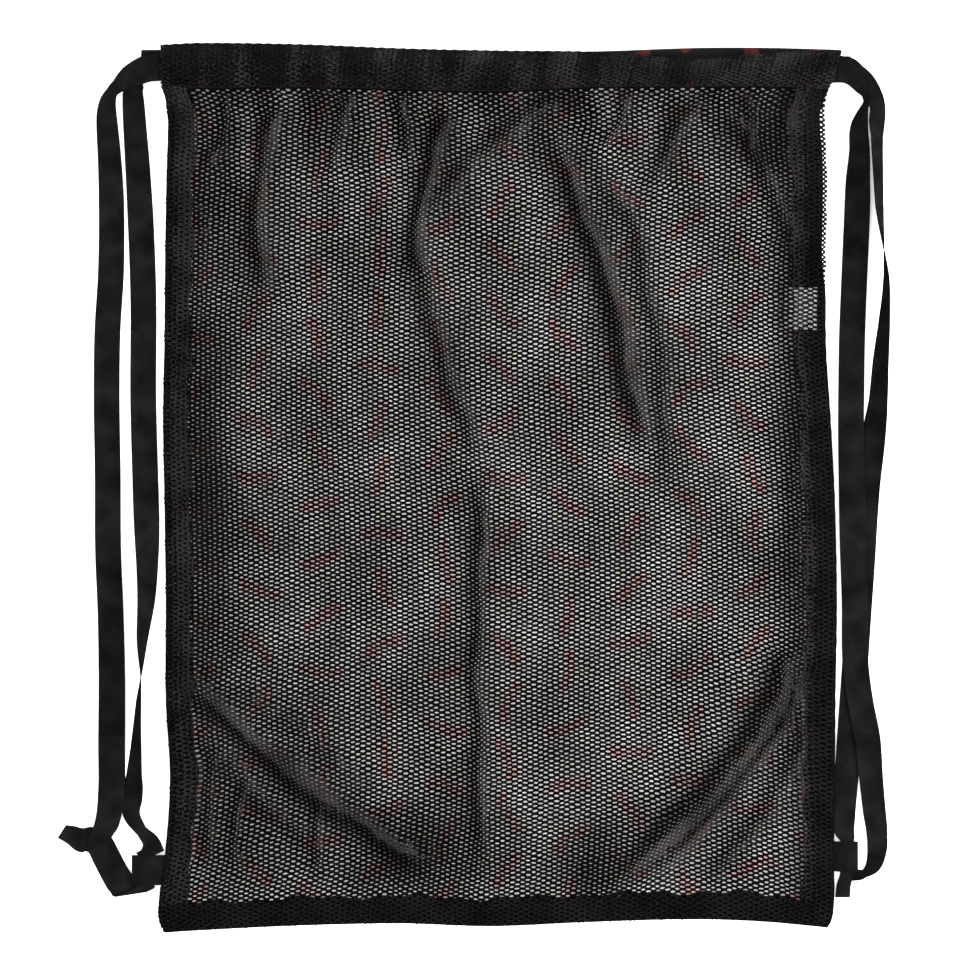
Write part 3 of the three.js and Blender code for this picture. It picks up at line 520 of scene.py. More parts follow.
# Painted shade on the cloth behind the net
STEEP_SHADE = 0.78
GENTLE_SHADE = 0.10
LEFT_SHADE = 0.08
LEFT_SPAN = (-0.215, -0.13)
RIGHT_SHADE = 0.75
RIGHT_REACH = 0.022
# darkest share of the painted shade in soft uneven patches
MOTTLED_SHADE = 0.22

# Places where the net lies in small grey folds, their grey a painted sheen: x, y, half width, half height,
# share closed
VEILS = (
    (-0.213, -0.010, 0.016, 0.120, 0.40),
    (0.195, 0.258, 0.030, 0.032, 0.20),
)

# Slack parts of the net, where its holes are narrower: the same columns
SLACK = (
    (-0.200, -0.260, 0.060, 0.050, 0.08),
    (0.215, -0.060, 0.020, 0.120, 0.15),
    (-0.215, 0.220, 0.025, 0.070, 0.15),
    (0.200, 0.240, 0.040, 0.050, 0.12),
    (0.215, 0.120, 0.012, 0.100, 0.10),
    (-0.055, -0.268, 0.035, 0.032, 0.34),
    (0.070, -0.275, 0.022, 0.025, 0.28),
)

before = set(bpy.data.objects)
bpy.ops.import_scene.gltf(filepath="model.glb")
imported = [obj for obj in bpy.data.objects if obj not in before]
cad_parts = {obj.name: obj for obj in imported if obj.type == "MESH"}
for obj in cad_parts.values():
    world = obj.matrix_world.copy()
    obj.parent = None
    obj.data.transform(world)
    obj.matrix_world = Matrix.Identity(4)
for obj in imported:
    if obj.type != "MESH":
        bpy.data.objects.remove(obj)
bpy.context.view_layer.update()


# Curves and tables

def lerp(a, b, t):
    return a + (b - a) * t


def smooth(value, low, high):
    t = np.clip((value - low) / (high - low), 0, 1)
    return t * t * (3 - 2 * t)


def along(table, column, at):
    """Value of a column at places along a table's first column, on a smooth curve through the rows."""
    keys, values = table[:, 0], table[:, column]
    place = np.clip(at, keys[0], keys[-1])
    i = np.clip(np.searchsorted(keys, place) - 1, 0, len(keys) - 2)
    before = np.maximum(np.arange(len(keys)) - 1, 0)
    after = np.minimum(np.arange(len(keys)) + 1, len(keys) - 1)
    slope = (values[after] - values[before]) / (keys[after] - keys[before])
    span = keys[i + 1] - keys[i]
    t = (place - keys[i]) / span
    bend = t * (1 - t) * span * ((1 - t) * slope[i] - t * slope[i + 1])
    return lerp(values[i], values[i + 1], t * t * (3 - 2 * t)) + bend


def side_at(side, y):
    return along(SIDES, {"left": 1, "right": 2}[side], np.asarray(y, float))


def end_at(end, x):
    return along(ENDS, END_COLUMN[end], np.asarray(x, float))


def unit(vectors):
    length = np.linalg.norm(vectors, axis=-1, keepdims=True)
    return vectors / np.maximum(length, 1e-12)


def lengths_along(points):
    steps = np.linalg.norm(np.diff(points, axis=0), axis=1)
    return np.concatenate([[0], np.cumsum(steps)])


def ripple(name, x, y):
    """Smooth uneven waves between -1 and 1, the same on every run."""
    wave, phase = RIPPLES[name]
    a = np.sin(x / wave * 2.1 + 1.7 * np.sin(y / wave * 0.9 + phase) + phase)
    b = np.sin(y / wave * 1.7 + 1.3 * np.sin(x / wave * 1.2 - phase) + 2.3 * phase)
    return 0.5 * (a + b)


def patches(table, x, y):
    """Sum of soft round patches, one for each row of the table."""
    total = np.zeros(np.shape(x))
    for place_x, place_y, half_x, half_y, share in table:
        total = total + share * np.exp(-((x - place_x) / half_x) ** 2 - ((y - place_y) / half_y) ** 2)
    return total


# Shape of the panels

def crest(line, x, y):
    """Signed distance from a curve through three points, share along it, and the way to its left."""
    x0, y0, x1, y1, x2, y2 = line[:6]
    t = np.linspace(0, 1, FOLD_SEGMENTS + 1)
    start, middle, end = 2 * (t - 0.5) * (t - 1), 4 * t * (1 - t), 2 * t * (t - 0.5)
    px, py = start * x0 + middle * x1 + end * x2, start * y0 + middle * y1 + end * y2
    nearest = np.full(np.shape(x), np.inf)
    signed, share = np.zeros(np.shape(x)), np.zeros(np.shape(x))
    for k in range(FOLD_SEGMENTS):
        dx, dy = px[k + 1] - px[k], py[k + 1] - py[k]
        s = np.clip(((x - px[k]) * dx + (y - py[k]) * dy) / (dx * dx + dy * dy), 0, 1)
        away_x, away_y = x - px[k] - s * dx, y - py[k] - s * dy
        distance = np.hypot(away_x, away_y)
        closer = distance < nearest
        nearest = np.where(closer, distance, nearest)
        signed = np.where(closer, np.copysign(distance, dx * away_y - dy * away_x), signed)
        share = np.where(closer, (k + s) / FOLD_SEGMENTS, share)
    left_x = np.interp(share, t, np.gradient(-py))
    left_y = np.interp(share, t, np.gradient(px))
    length = np.hypot(left_x, left_y)
    return signed, share, left_x / length, left_y / length


def fade_ends(share):
    return smooth(np.minimum(share, 1 - share), 0, FOLD_TAPER)


def fold_rise(fold, x, y):
    distance, share = crest(fold, x, y)[:2]
    return fold[7] * fade_ends(share) * np.exp(-((distance / fold[6]) ** 2))


def ridge_crest(ridge, x, y):
    """Crest of a ridge, wandering a little from its curve."""
    return crest(ridge, x + RIDGE_SWAY * ripple("ridge_x", x, y), y + RIDGE_SWAY * ripple("ridge_y", x, y))


def ridge_rise(ridge, x, y):
    distance, share = ridge_crest(ridge, x, y)[:2]
    width = np.where(distance > 0, ridge[6], ridge[7])
    return ridge[8] * fade_ends(share) * np.exp(-((distance / width) ** 2))


def inset_mask(x, y, run):
    """0 on the sewn edges and the stitch line, 1 further in than the run."""
    inset = np.minimum(x - side_at("left", y), side_at("right", y) - x)
    inset = np.minimum(inset, np.minimum(y - end_at("bottom", x), end_at("stitch", x) - y))
    return smooth(inset, 0, run)


def draw_in(x, y):
    """Moves points of the net towards the ridges that take up its width."""
    free = inset_mask(x, y, PULL_RUN)
    shift_x, shift_y = np.zeros(np.shape(x)), np.zeros(np.shape(x))
    for ridge in RIDGES:
        distance, share, left_x, left_y = ridge_crest(ridge, x, y)
        pull = RIDGE_PULL * ridge[8] / 2 * fade_ends(share) * free
        pull = pull * np.tanh(distance / ridge[7]) * np.exp(-((distance / RIDGE_REACH) ** 2))
        shift_x = shift_x - pull * left_x
        shift_y = shift_y - pull * left_y
    return x + shift_x, y + shift_y


def edge_rise(distance):
    return np.sin(np.pi / 2 * np.clip(distance / EDGE_RUN, 0, 1))


def front_height(x, y):
    free = edge_rise(x - side_at("left", y)) * edge_rise(side_at("right", y) - x)
    free = free * edge_rise(y - end_at("bottom", x))
    folds = sum(FOLD_SHARE * fold_rise(fold, x, y) for fold in FOLDS)
    drop = end_at("stitch", x) - y
    mouth = smooth(y, SLIT_FOOT, end_at("stitch", x))
    hang = smooth(drop, 0, GATHER_FALL / 4) * (1 - smooth(drop, GATHER_FALL / 4, GATHER_FALL))
    gathers = GATHER_RISE * hang * free * np.sin(2 * np.pi * x / GATHER_PITCH)
    crumple = free * (CRUMPLE_RISE * ripple("crumple", x, y) + BILLOW_RISE * ripple("billow", x, y))
    ridges = inset_mask(x, y, RIDGE_RUN) * sum(ridge_rise(ridge, x, y) for ridge in RIDGES)
    return lerp(EDGE_Z + free * (CROWN_Z - EDGE_Z + folds), STITCH_Z, mouth) + gathers + crumple + ridges


def back_height(x, y):
    inset = np.minimum(np.minimum(x - side_at("left", y), side_at("right", y) - x), y - end_at("bottom", x))
    free = smooth(inset, *BACK_FREE) * (1 - smooth(y, *BACK_FLAT))
    return BACK_Z + BACK_LIFT + BACK_WAVE * free * (1 + ripple("back", x, y)) / 2


def set_back(side, y):
    """How far the sewn layers lie inside the net's edge."""
    low, full, fading, high = SET_BACK_SPAN
    return SET_BACK * smooth(y, low, full) * (1 - smooth(y, fading, high)) * (side == "right")


def sewn_side(side, y):
    return side_at(side, y) - OUTWARD[side] * set_back(side, y)


def seam_sway(run):
    """Wander of a seam's inner edge along its run."""
    slow, fast = SEAM_SWAY_WAVES
    return SEAM_SWAY * (np.sin(run / slow) + np.sin(run / fast + 1.0))


def seam_inner(side, y):
    y = np.maximum(y, SEAM_CORNER)
    widening = LABEL_WIDENING * smooth(y, *LABEL_SPAN) * (side == "right")
    return side_at(side, y) - OUTWARD[side] * (SEAM_WIDTH[side] + widening + seam_sway(y))


def bottom_inner(x):
    return end_at("bottom", x) + SEAM_WIDTH["bottom"] + seam_sway(x)


def over_side_seam(x, y):
    return (x < seam_inner("left", y)) | (x > seam_inner("right", y))


def across(u, y):
    return lerp(side_at("left", y), side_at("right", y), u)


def panel_plan(u, v):
    """Place on the floor of a share across and a share up a panel."""
    guess = lerp(SIDES[0, 0], ENDS[0, 2], v)
    nominal = across(u, guess)
    y = lerp(end_at("bottom", nominal), end_at("stitch", nominal), v)
    return across(u, y), y


def casing_point(u, share, top, join_z, wall_z, inward):
    """Point of a folded casing: up the wall, round the fold and back down as the hem."""
    x = across(u, ENDS[0, 2])
    stitch = end_at("stitch", x)
    hem_z = wall_z + inward * CASING_LAYERS * LAYER
    radius = abs(hem_z - wall_z) / 2
    bend_y = end_at(top, x) - CLOTH / 2 - radius
    ramp = stitch + HEM_RAMP

    def part(k):
        return np.clip((share - CASING_STOPS[k]) / (CASING_STOPS[k + 1] - CASING_STOPS[k]), 0, 1)

    angle = np.pi * part(2)
    arc_y = bend_y + radius * np.sin(angle)
    arc_z = (wall_z + hem_z) / 2 - inward * radius * np.cos(angle)
    y = lerp(lerp(stitch, ramp, part(0)), arc_y, part(1))
    z = lerp(lerp(join_z, wall_z, part(0)), arc_z, part(1))
    y = lerp(lerp(y, ramp, part(3)), stitch + GAP, part(4))
    z = lerp(lerp(z, hem_z, part(3)), join_z + inward * LAYER, part(4))
    return across(u, y), y, z


# Meshes

def loop_corners(mesh):
    corners = np.zeros(len(mesh.loops), dtype=np.int32)
    mesh.loops.foreach_get("vertex_index", corners)
    return corners


def add_map(mesh, name, uv):
    layer = mesh.uv_layers.new(name=name)
    layer.data.foreach_set("uv", np.asarray(uv, dtype=np.float32)[loop_corners(mesh)].ravel())


def add_object(name, points, faces, uv, materials, normals=None, face_material=None):
    mesh = bpy.data.meshes.new(name)
    mesh.from_pydata(np.asarray(points).tolist(), [], faces)
    add_map(mesh, "cloth", uv)
    for material in materials:
        mesh.materials.append(material)
    if face_material is not None:
        mesh.polygons.foreach_set("material_index", np.asarray(face_material, dtype=np.int32))
    mesh.polygons.foreach_set("use_smooth", np.ones(len(mesh.polygons), dtype=bool))
    if normals is not None:
        mesh.normals_split_custom_set_from_vertices(np.asarray(normals).tolist())
    mesh.update()
    piece = bpy.data.objects.new(name, mesh)
    bpy.context.scene.collection.objects.link(piece)
    return piece


def add_piece(*parts):
    piece = add_object(*parts)
    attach(piece, "root")
    return piece


def grid_faces(rows, columns, start=0, flip=False):
    a = (np.arange(rows - 1)[:, None] * columns + np.arange(columns - 1)[None, :]).ravel() + start
    quads = np.stack([a, a + 1, a + columns + 1, a + columns], axis=1)
    return (quads[:, ::-1] if flip else quads).tolist()


def grid_normals(points):
    rise = np.gradient(points, axis=0)
    run = np.gradient(points, axis=1)
    return unit(np.cross(run, rise))


def shell(name, points, uv, thickness, materials, face_materials=(0, 0)):
    """Closed cloth about a grid of points; the second material is on the side away from the normal."""
    rows, columns = points.shape[:2]
    normal = grid_normals(points)
    both = np.concatenate([(points + normal * thickness / 2).reshape(-1, 3),
                           (points - normal * thickness / 2).reshape(-1, 3)])
    count = rows * columns
    upper = grid_faces(rows, columns)
    lower = grid_faces(rows, columns, count, flip=True)
    ids = np.arange(count).reshape(rows, columns)
    border = np.concatenate([ids[0, :-1], ids[:-1, -1], ids[-1, :0:-1], ids[:0:-1, 0]])
    following = np.roll(border, -1)
    rim = np.stack([border + count, following + count, following, border], axis=1).tolist()
    kinds = [face_materials[0]] * len(upper) + [face_materials[1]] * (len(lower) + len(rim))
    flat = np.asarray(uv).reshape(-1, 2)
    return add_piece(name, both, upper + lower + rim, np.concatenate([flat, flat]), materials, None, kinds)


def strip_grid(y, one_edge, other_edge, columns):
    """Grid of places between two edges that run up the bag."""
    low, high = np.minimum(one_edge, other_edge), np.maximum(one_edge, other_edge)
    x = lerp(low[:, None], high[:, None], np.linspace(0, 1, columns + 1)[None, :])
    return x, np.repeat(y[:, None], columns + 1, axis=1)


def plain_cloth(name, x, y, z, thickness, material):
    points = np.stack([x, y, z], axis=-1)
    return shell(name, points, points[..., :2], thickness, [material])


def tube(name, rings, uv, material):
    """Closed tube through rings of points, with a flat face at each end."""
    ids = np.arange(rings.shape[0] * rings.shape[1]).reshape(rings.shape[:2])
    following = np.roll(ids, -1, axis=1)
    quads = np.stack([ids[:-1], following[:-1], following[1:], ids[1:]], axis=-1).reshape(-1, 4).tolist()
    caps = [ids[0, ::-1].tolist(), ids[-1].tolist()]
    return add_piece(name, rings.reshape(-1, 3), quads + caps, uv.reshape(-1, 2), [material])


def net(name, width, height, place, openness, materials, kind):
    """Sheet of staggered six-sided holes; place gives the points and openness the size of the holes,
    and kind the number of each face's material."""
    columns, rows = round(width / NET_COLUMN), round(height / NET_ROW)
    dx, dy = width / columns, height / rows
    i, j = np.meshgrid(np.arange(-1, columns + 2), np.arange(-1, rows + 2), indexing="ij")
    s = i * dx
    t = (j + 0.5 * (i % 2)) * dy
    open_share = openness(np.clip(s, 0, width), np.clip(t, 0, height))
    corner_s = HOLE_TIP * dx * np.array([1, 0, 0, -1, 0, 0])
    corner_s = corner_s + HOLE_SHOULDER * dx * np.array([0, 1, -1, 0, -1, 1])
    corner_t = HOLE_RISE * dy * np.array([0, 1, 1, 0, -1, -1])
    hole_s = np.clip(s[..., None] + corner_s * open_share[..., None], 0, width)
    hole_t = np.clip(t[..., None] + corner_t * open_share[..., None], 0, height)
    points = np.stack(place(hole_s, hole_t), axis=-1)
    centre = points.mean(axis=2, keepdims=True)
    facing = unit(np.cross(points[:, :, 0] - points[:, :, 3],
                           points[:, :, 1] + points[:, :, 2] - points[:, :, 4] - points[:, :, 5]))
    normals = unit(facing[:, :, None, :] + STRAND_ROUND * unit(centre - points))

    ids = np.arange(i.size * 6).reshape(*i.shape, 6)
    here = ids[:-1, 1:-1]
    up = ids[:-1, 2:]
    odd = (np.arange(-1, columns + 1) % 2 == 1)[:, None, None]
    upper_right = np.where(odd, ids[1:, 2:], ids[1:, 1:-1])
    lower_right = np.where(odd, ids[1:, 1:-1], ids[1:, :-2])
    polygons = [
        (here[..., 2], here[..., 1], up[..., 5], up[..., 4]),
        (here[..., 0], upper_right[..., 4], upper_right[..., 3], here[..., 1]),
        (here[..., 5], lower_right[..., 3], lower_right[..., 2], here[..., 0]),
        (here[..., 1], upper_right[..., 3], up[..., 5]),
        (here[..., 0], lower_right[..., 2], upper_right[..., 4]),
    ]
    flat_s, flat_t = hole_s.ravel(), hole_t.ravel()
    faces, kinds = [], []
    for group in polygons:
        polygon = np.stack([part.ravel() for part in group], axis=1)
        a, b = flat_s[polygon], flat_t[polygon]
        area = 0.5 * np.sum(a * np.roll(b, -1, axis=1) - b * np.roll(a, -1, axis=1), axis=1)
        kept = np.abs(area) > dx * dy * LEAST_FACE
        faces += polygon[kept].tolist()
        kinds += kind(a[kept].mean(axis=1), b[kept].mean(axis=1)).tolist()
    used = np.unique(np.concatenate([np.asarray(face) for face in faces]))
    renumber = np.zeros(ids.size, dtype=int)
    renumber[used] = np.arange(len(used))
    faces = [renumber[face].tolist() for face in faces]
    uv = np.stack([flat_s, flat_t], axis=1)[used]
    points, normals = points.reshape(-1, 3)[used], normals.reshape(-1, 3)[used]
    return add_piece(name, points, faces, uv, materials, normals, kinds)


def ribbon(name, points, sides, widths, thickness, material):
    """Tape with a woven edge bead; sides gives the direction of its width at each point."""
    heading = unit(np.gradient(points, axis=0))
    normal = np.cross(sides, heading)
    size = np.linalg.norm(normal, axis=1, keepdims=True)
    normal = normal / size
    reach = sides * (widths[:, None] / np.maximum(size, LEAST_SLANT)) / 2
    place = np.concatenate([TAPE_PROFILE[:, 0], TAPE_PROFILE[-2:0:-1, 0]])
    height = np.concatenate([TAPE_PROFILE[:, 1], -TAPE_PROFILE[-2:0:-1, 1]])
    rings = points[:, None, :] + reach[:, None, :] * place[None, :, None]
    rings = rings + normal[:, None, :] * (height * thickness / 2)[None, :, None]
    run = np.repeat(lengths_along(points)[:, None], len(place), axis=1)
    return tube(name, rings, np.stack([place[None, :] * widths[:, None] / 2, run], axis=-1), material)


def threads(name, lines, material):
    """Stitches along lines of points: short rounded lengths of thread lying on the cloth."""
    points, faces, uv = [], [], []
    turn = np.linspace(0, 2 * np.pi, THREAD_SIDES, endpoint=False)
    up = np.array([0.0, 0.0, 1.0])
    for line in lines:
        run = lengths_along(line)
        for start in np.arange(0, run[-1] - STITCH_LENGTH, STITCH_LENGTH + STITCH_GAP):
            places = start + STITCH_LENGTH * THREAD_PROFILE[:, 0]
            middle = np.stack([np.interp(places, run, line[:, k]) for k in range(3)], axis=1)
            aside = unit(np.cross(up, np.gradient(middle, axis=0)))
            middle = middle + up * (THREAD_PROFILE[:, 2] * THREAD_RADIUS)[:, None]
            radius = (THREAD_PROFILE[:, 1] * THREAD_RADIUS)[:, None, None]
            ring = middle[:, None, :] + radius * (aside[:, None, :] * np.cos(turn)[None, :, None]
                                                  + up * np.sin(turn)[None, :, None])
            ids = len(points) + np.arange(ring.shape[0] * THREAD_SIDES).reshape(-1, THREAD_SIDES)
            after = np.roll(ids, -1, axis=1)
            faces += np.stack([ids[:-1], after[:-1], after[1:], ids[1:]], axis=-1).reshape(-1, 4).tolist()
            points.extend(ring.reshape(-1, 3).tolist())
            uv.extend([[share * THREAD_GIRTH, place] for place in places for share in turn / (2 * np.pi)])
    return add_piece(name, points, faces, uv, [material])


# Materials

def grey(value, tint=(1, 1, 1)):
    return tuple(value * part for part in tint)


class Shading:
    """Nodes of one material, with short ways to add to them."""

    def __init__(self, name):
        self.material = bpy.data.materials.new(name)
        self.material.use_nodes = True
        self.tree = self.material.node_tree
        self.shader = self.tree.nodes["Principled BSDF"]
        self.uv = self.node("ShaderNodeUVMap", settings={"uv_map": "cloth"})

    def feed(self, socket, value):
        if isinstance(value, bpy.types.NodeSocket):
            self.tree.links.new(value, socket)
        elif socket.type == "RGBA":
            socket.default_value = (*value, 1.0)
        else:
            socket.default_value = value

    def node(self, kind, output=0, settings=None, **inputs):
        made = self.tree.nodes.new(kind)
        for key, value in (settings or {}).items():
            setattr(made, key, value)
        for key, value in inputs.items():
            self.feed(made.inputs[key.replace("_", " ")], value)
        return made.outputs[output]

    def calc(self, operation, *values):
        made = self.tree.nodes.new("ShaderNodeMath")
        made.operation = operation
        for socket, value in zip(made.inputs, values):
            self.feed(socket, value)
        return made.outputs[0]

    def split(self, vector):
        return self.node("ShaderNodeSeparateXYZ", "X", Vector=vector).node.outputs[:2]

    def turn(self, vector, angle):
        return self.node("ShaderNodeVectorRotate", settings={"rotation_type": "Z_AXIS"}, Vector=vector,
                         Angle=angle)

    def distance(self, x, y):
        return self.calc("SQRT", self.calc("ADD", self.calc("POWER", x, 2.0), self.calc("POWER", y, 2.0)))

    def ramp(self, value, low, high, out_low=0.0, out_high=1.0):
        return self.node("ShaderNodeMapRange", settings={"interpolation_type": "SMOOTHSTEP"}, Value=value,
                         From_Min=low, From_Max=high, To_Min=out_low, To_Max=out_high)

    def mix(self, factor, a, b):
        made = self.tree.nodes.new("ShaderNodeMix")
        made.data_type = "RGBA"
        for socket, value in zip((made.inputs[0], made.inputs[6], made.inputs[7]), (factor, a, b)):
            self.feed(socket, value)
        return made.outputs[2]

    def noise(self, name):
        scale, detail = NOISES[name]
        return self.node("ShaderNodeTexNoise", Vector=self.uv, Scale=scale, Detail=detail)

    def yarn(self, pitch, angle):
        """Bands of that pitch in metres, turned by an angle."""
        return self.node("ShaderNodeTexWave", 1, settings={"wave_type": "BANDS", "bands_direction": "X"},
                         Vector=self.turn(self.uv, angle), Scale=WAVE_PITCH / pitch,
                         Distortion=WAVE_DISTORTION, Detail=1.0)

    def woven(self, pitch):
        """Plain weave: two crossed sets of yarns."""
        return self.calc("MULTIPLY", self.yarn(pitch, 0.0), self.yarn(pitch, math.pi / 2))

    def finish(self, surface, colour, height):
        roughness, specular, sheen, sheen_roughness, distance, strength = SURFACES[surface]
        bump = self.node("ShaderNodeBump", Height=height, Distance=distance, Strength=strength)
        return self.set_shader({
            "Base Color": colour, "Normal": bump, "Roughness": roughness, "Specular IOR Level": specular,
            "Sheen Weight": sheen, "Sheen Roughness": sheen_roughness,
        })

    def set_shader(self, values):
        for name, value in values.items():
            self.feed(self.shader.inputs[name], value)
        return self.material


def net_material(name, dark, light):
    cloth = Shading(name)
    tone = cloth.calc("MULTIPLY_ADD", cloth.noise("net"), NET_FADE, cloth.noise("net_fine"))
    colour = cloth.mix(cloth.ramp(tone, *RANGES["net"]), grey(dark), grey(light, TINTS["net"]))
    strands = cloth.calc("ADD", cloth.yarn(NET_YARN, NET_SLANT), cloth.yarn(NET_YARN, -NET_SLANT))
    return cloth.finish("net", colour, strands)


def tape_material():
    cloth = Shading("tape_black")
    dark, light = TONES["tape"]
    twill = cloth.yarn(TWILL, TWILL_SLANT)
    tone = cloth.calc("MULTIPLY_ADD", twill, TWILL_SHARE, cloth.noise("tape"))
    colour = cloth.mix(cloth.ramp(tone, *RANGES["tape"]), grey(dark), grey(light, TINTS["tape"]))
    return cloth.finish("tape", colour, cloth.calc("ADD", twill, cloth.yarn(TAPE_RIB, math.pi / 2)))


def print_masks(cloth, edge):
    """Masks of a generic scattered print: short rounded dashes and small dots."""
    calc = cloth.calc
    x, y = (calc("DIVIDE", place, pitch) for place, pitch in zip(cloth.split(cloth.uv), PRINT_PITCH))
    column = calc("FLOOR", x)
    dropped = calc("MULTIPLY_ADD", column, 0.5, y)
    row = calc("FLOOR", dropped)
    cell = cloth.node("ShaderNodeCombineXYZ", X=column, Y=row)
    chance = cloth.node("ShaderNodeTexWhiteNoise", "Value", settings={"noise_dimensions": "2D"}, Vector=cell)
    local_x = calc("SUBTRACT", calc("SUBTRACT", x, column), 0.5)
    local_y = calc("SUBTRACT", calc("SUBTRACT", dropped, row), 0.5)
    place = cloth.node("ShaderNodeCombineXYZ", X=calc("MULTIPLY", local_x, PRINT_PITCH[0]),
                       Y=calc("MULTIPLY", local_y, PRINT_PITCH[1]))
    angle = calc("MULTIPLY_ADD", chance, 2 * PRINT_TURN, -PRINT_TURN)
    length, aside = cloth.split(cloth.turn(place, angle))
    reach = calc("MAXIMUM", calc("SUBTRACT", calc("ABSOLUTE", length), DASH_HALF), 0.0)
    bow = calc("MULTIPLY", calc("POWER", length, 2.0), DASH_BOW)
    far = cloth.distance(reach, calc("SUBTRACT", aside, bow))
    spot = cloth.distance(length, calc("SUBTRACT", aside, DOT_PLACE))
    dash = cloth.ramp(far, DASH_RADIUS - edge, DASH_RADIUS + edge, 1.0, 0.0)
    dot = cloth.ramp(spot, DOT_RADIUS - edge, DOT_RADIUS + edge, 1.0, 0.0)
    return dash, dot


def back_material(name, shaded=False):
    cloth = Shading(name)
    ground, ground_light, dash_colour, dot_colour, ink, edge = PRINTS[name]
    colour = cloth.mix(cloth.ramp(cloth.noise("cloth"), *RANGES["cloth"]), ground, ground_light)
    wear = cloth.ramp(cloth.noise("wear"), *RANGES["wear"], INK_WORN * ink, ink)
    for mask, print_colour in zip(print_masks(cloth, edge), (dash_colour, dot_colour)):
        colour = cloth.mix(cloth.calc("MULTIPLY", mask, wear), colour, print_colour)
    if shaded:
        # painted shade: the share of light in the shade map darkens the inside cloth's colour towards black
        light = cloth.split(cloth.node("ShaderNodeUVMap", settings={"uv_map": "shade"}))[0]
        colour = cloth.mix(light, grey(0.0), colour)
    return cloth.finish("back", colour, cloth.woven(WEAVE))


def seam_material():
    cloth = Shading("cloth_seam")
    dark, light = TONES["seam"]
    colour = cloth.mix(cloth.noise("cloth"), grey(dark), grey(light))
    return cloth.finish("seam", colour, cloth.woven(WEAVE))


def label_material():
    cloth = Shading("label_white")
    dark, light = TONES["label"]
    colour = cloth.mix(cloth.noise("label"), grey(dark, LABEL_DARK_TINT), grey(light, TINTS["label"]))
    return cloth.finish("label", colour, cloth.woven(LABEL_WEAVE))


def thread_material():
    cloth = Shading("thread_black")
    dark, light = TONES["thread"]
    twist = cloth.yarn(TWIST, TWIST_SLANT)
    return cloth.finish("thread", cloth.mix(twist, grey(dark), grey(light)), twist)


def floor_material():
    floor = Shading("floor_white")
    dark, light = TONES["floor"]
    return floor.set_shader({
        "Base Color": floor.mix(floor.noise("floor"), grey(dark), grey(light)), "Roughness": 0.9,
        "Specular IOR Level": 0.1, "Emission Color": (1, 1, 1), "Emission Strength": FLOOR_GLOW,
    })


# Camera

def add_camera():
    data = bpy.data.cameras.new("camera")
    data.lens = CAMERA_LENS
    data.sensor_width = CAMERA_SENSOR
    camera = bpy.data.objects.new("camera", data)
    tall = max(FRAME_PIXELS) * PIXEL
    camera.location = (*FRAME_CENTRE, tall * CAMERA_LENS / CAMERA_SENSOR)
    bpy.context.scene.collection.objects.link(camera)
    bpy.context.scene.camera = camera


# Drawcords

def smooth_route(points, steps):
    """Curve through the points whose speed follows the square root of each span."""
    padded = np.concatenate([[2 * points[0] - points[1]], points, [2 * points[-1] - points[-2]]])
    gaps = np.sqrt(np.linalg.norm(np.diff(padded, axis=0), axis=1))[:, None]
    route = []
    for i in range(len(points) - 1):
        p0, p1, p2, p3 = padded[i:i + 4]
        d0, d1, d2 = gaps[i], gaps[i + 1], gaps[i + 2]
        leave = d1 * ((p1 - p0) / d0 - (p2 - p0) / (d0 + d1) + (p2 - p1) / d1)
        arrive = d1 * ((p2 - p1) / d1 - (p3 - p1) / (d1 + d2) + (p3 - p2) / d2)
        t = (np.arange(steps) / steps)[:, None]
        route.append((2 * t ** 3 - 3 * t ** 2 + 1) * p1 + (t ** 3 - 2 * t ** 2 + t) * leave
                     + (3 * t ** 2 - 2 * t ** 3) * p2 + (t ** 3 - t ** 2) * arrive)
    return np.concatenate(route + [points[-1:]])


def free_tape(name, material):
    table = np.array(ROUTES[name])
    tilt = np.radians(table[:, 4])
    anchors = table[:, :3].copy()
    anchors[:, 2] += table[:, 5] / 2 * np.abs(np.sin(tilt))
    points = smooth_route(anchors, TAPE_STEPS)
    places = np.arange(len(points)) / TAPE_STEPS
    rows = np.arange(len(table))
    turn = np.interp(places, rows, np.radians(table[:, 3]))
    tilt = np.interp(places, rows, tilt)
    sides = np.stack([np.cos(turn) * np.cos(tilt), np.sin(turn) * np.cos(tilt), np.sin(tilt)], axis=1)
    widths = np.interp(places, rows, table[:, 5])
    return ribbon("tape_" + name, points, sides, widths, TAPE_THICK, material), points


def level_ribbon(name, points, widths, thickness, material):
    """Tape whose width runs up the bag all along."""
    sides = np.tile([0.0, 1.0, 0.0], (len(points), 1))
    return ribbon(name, points, sides, widths, thickness, material)


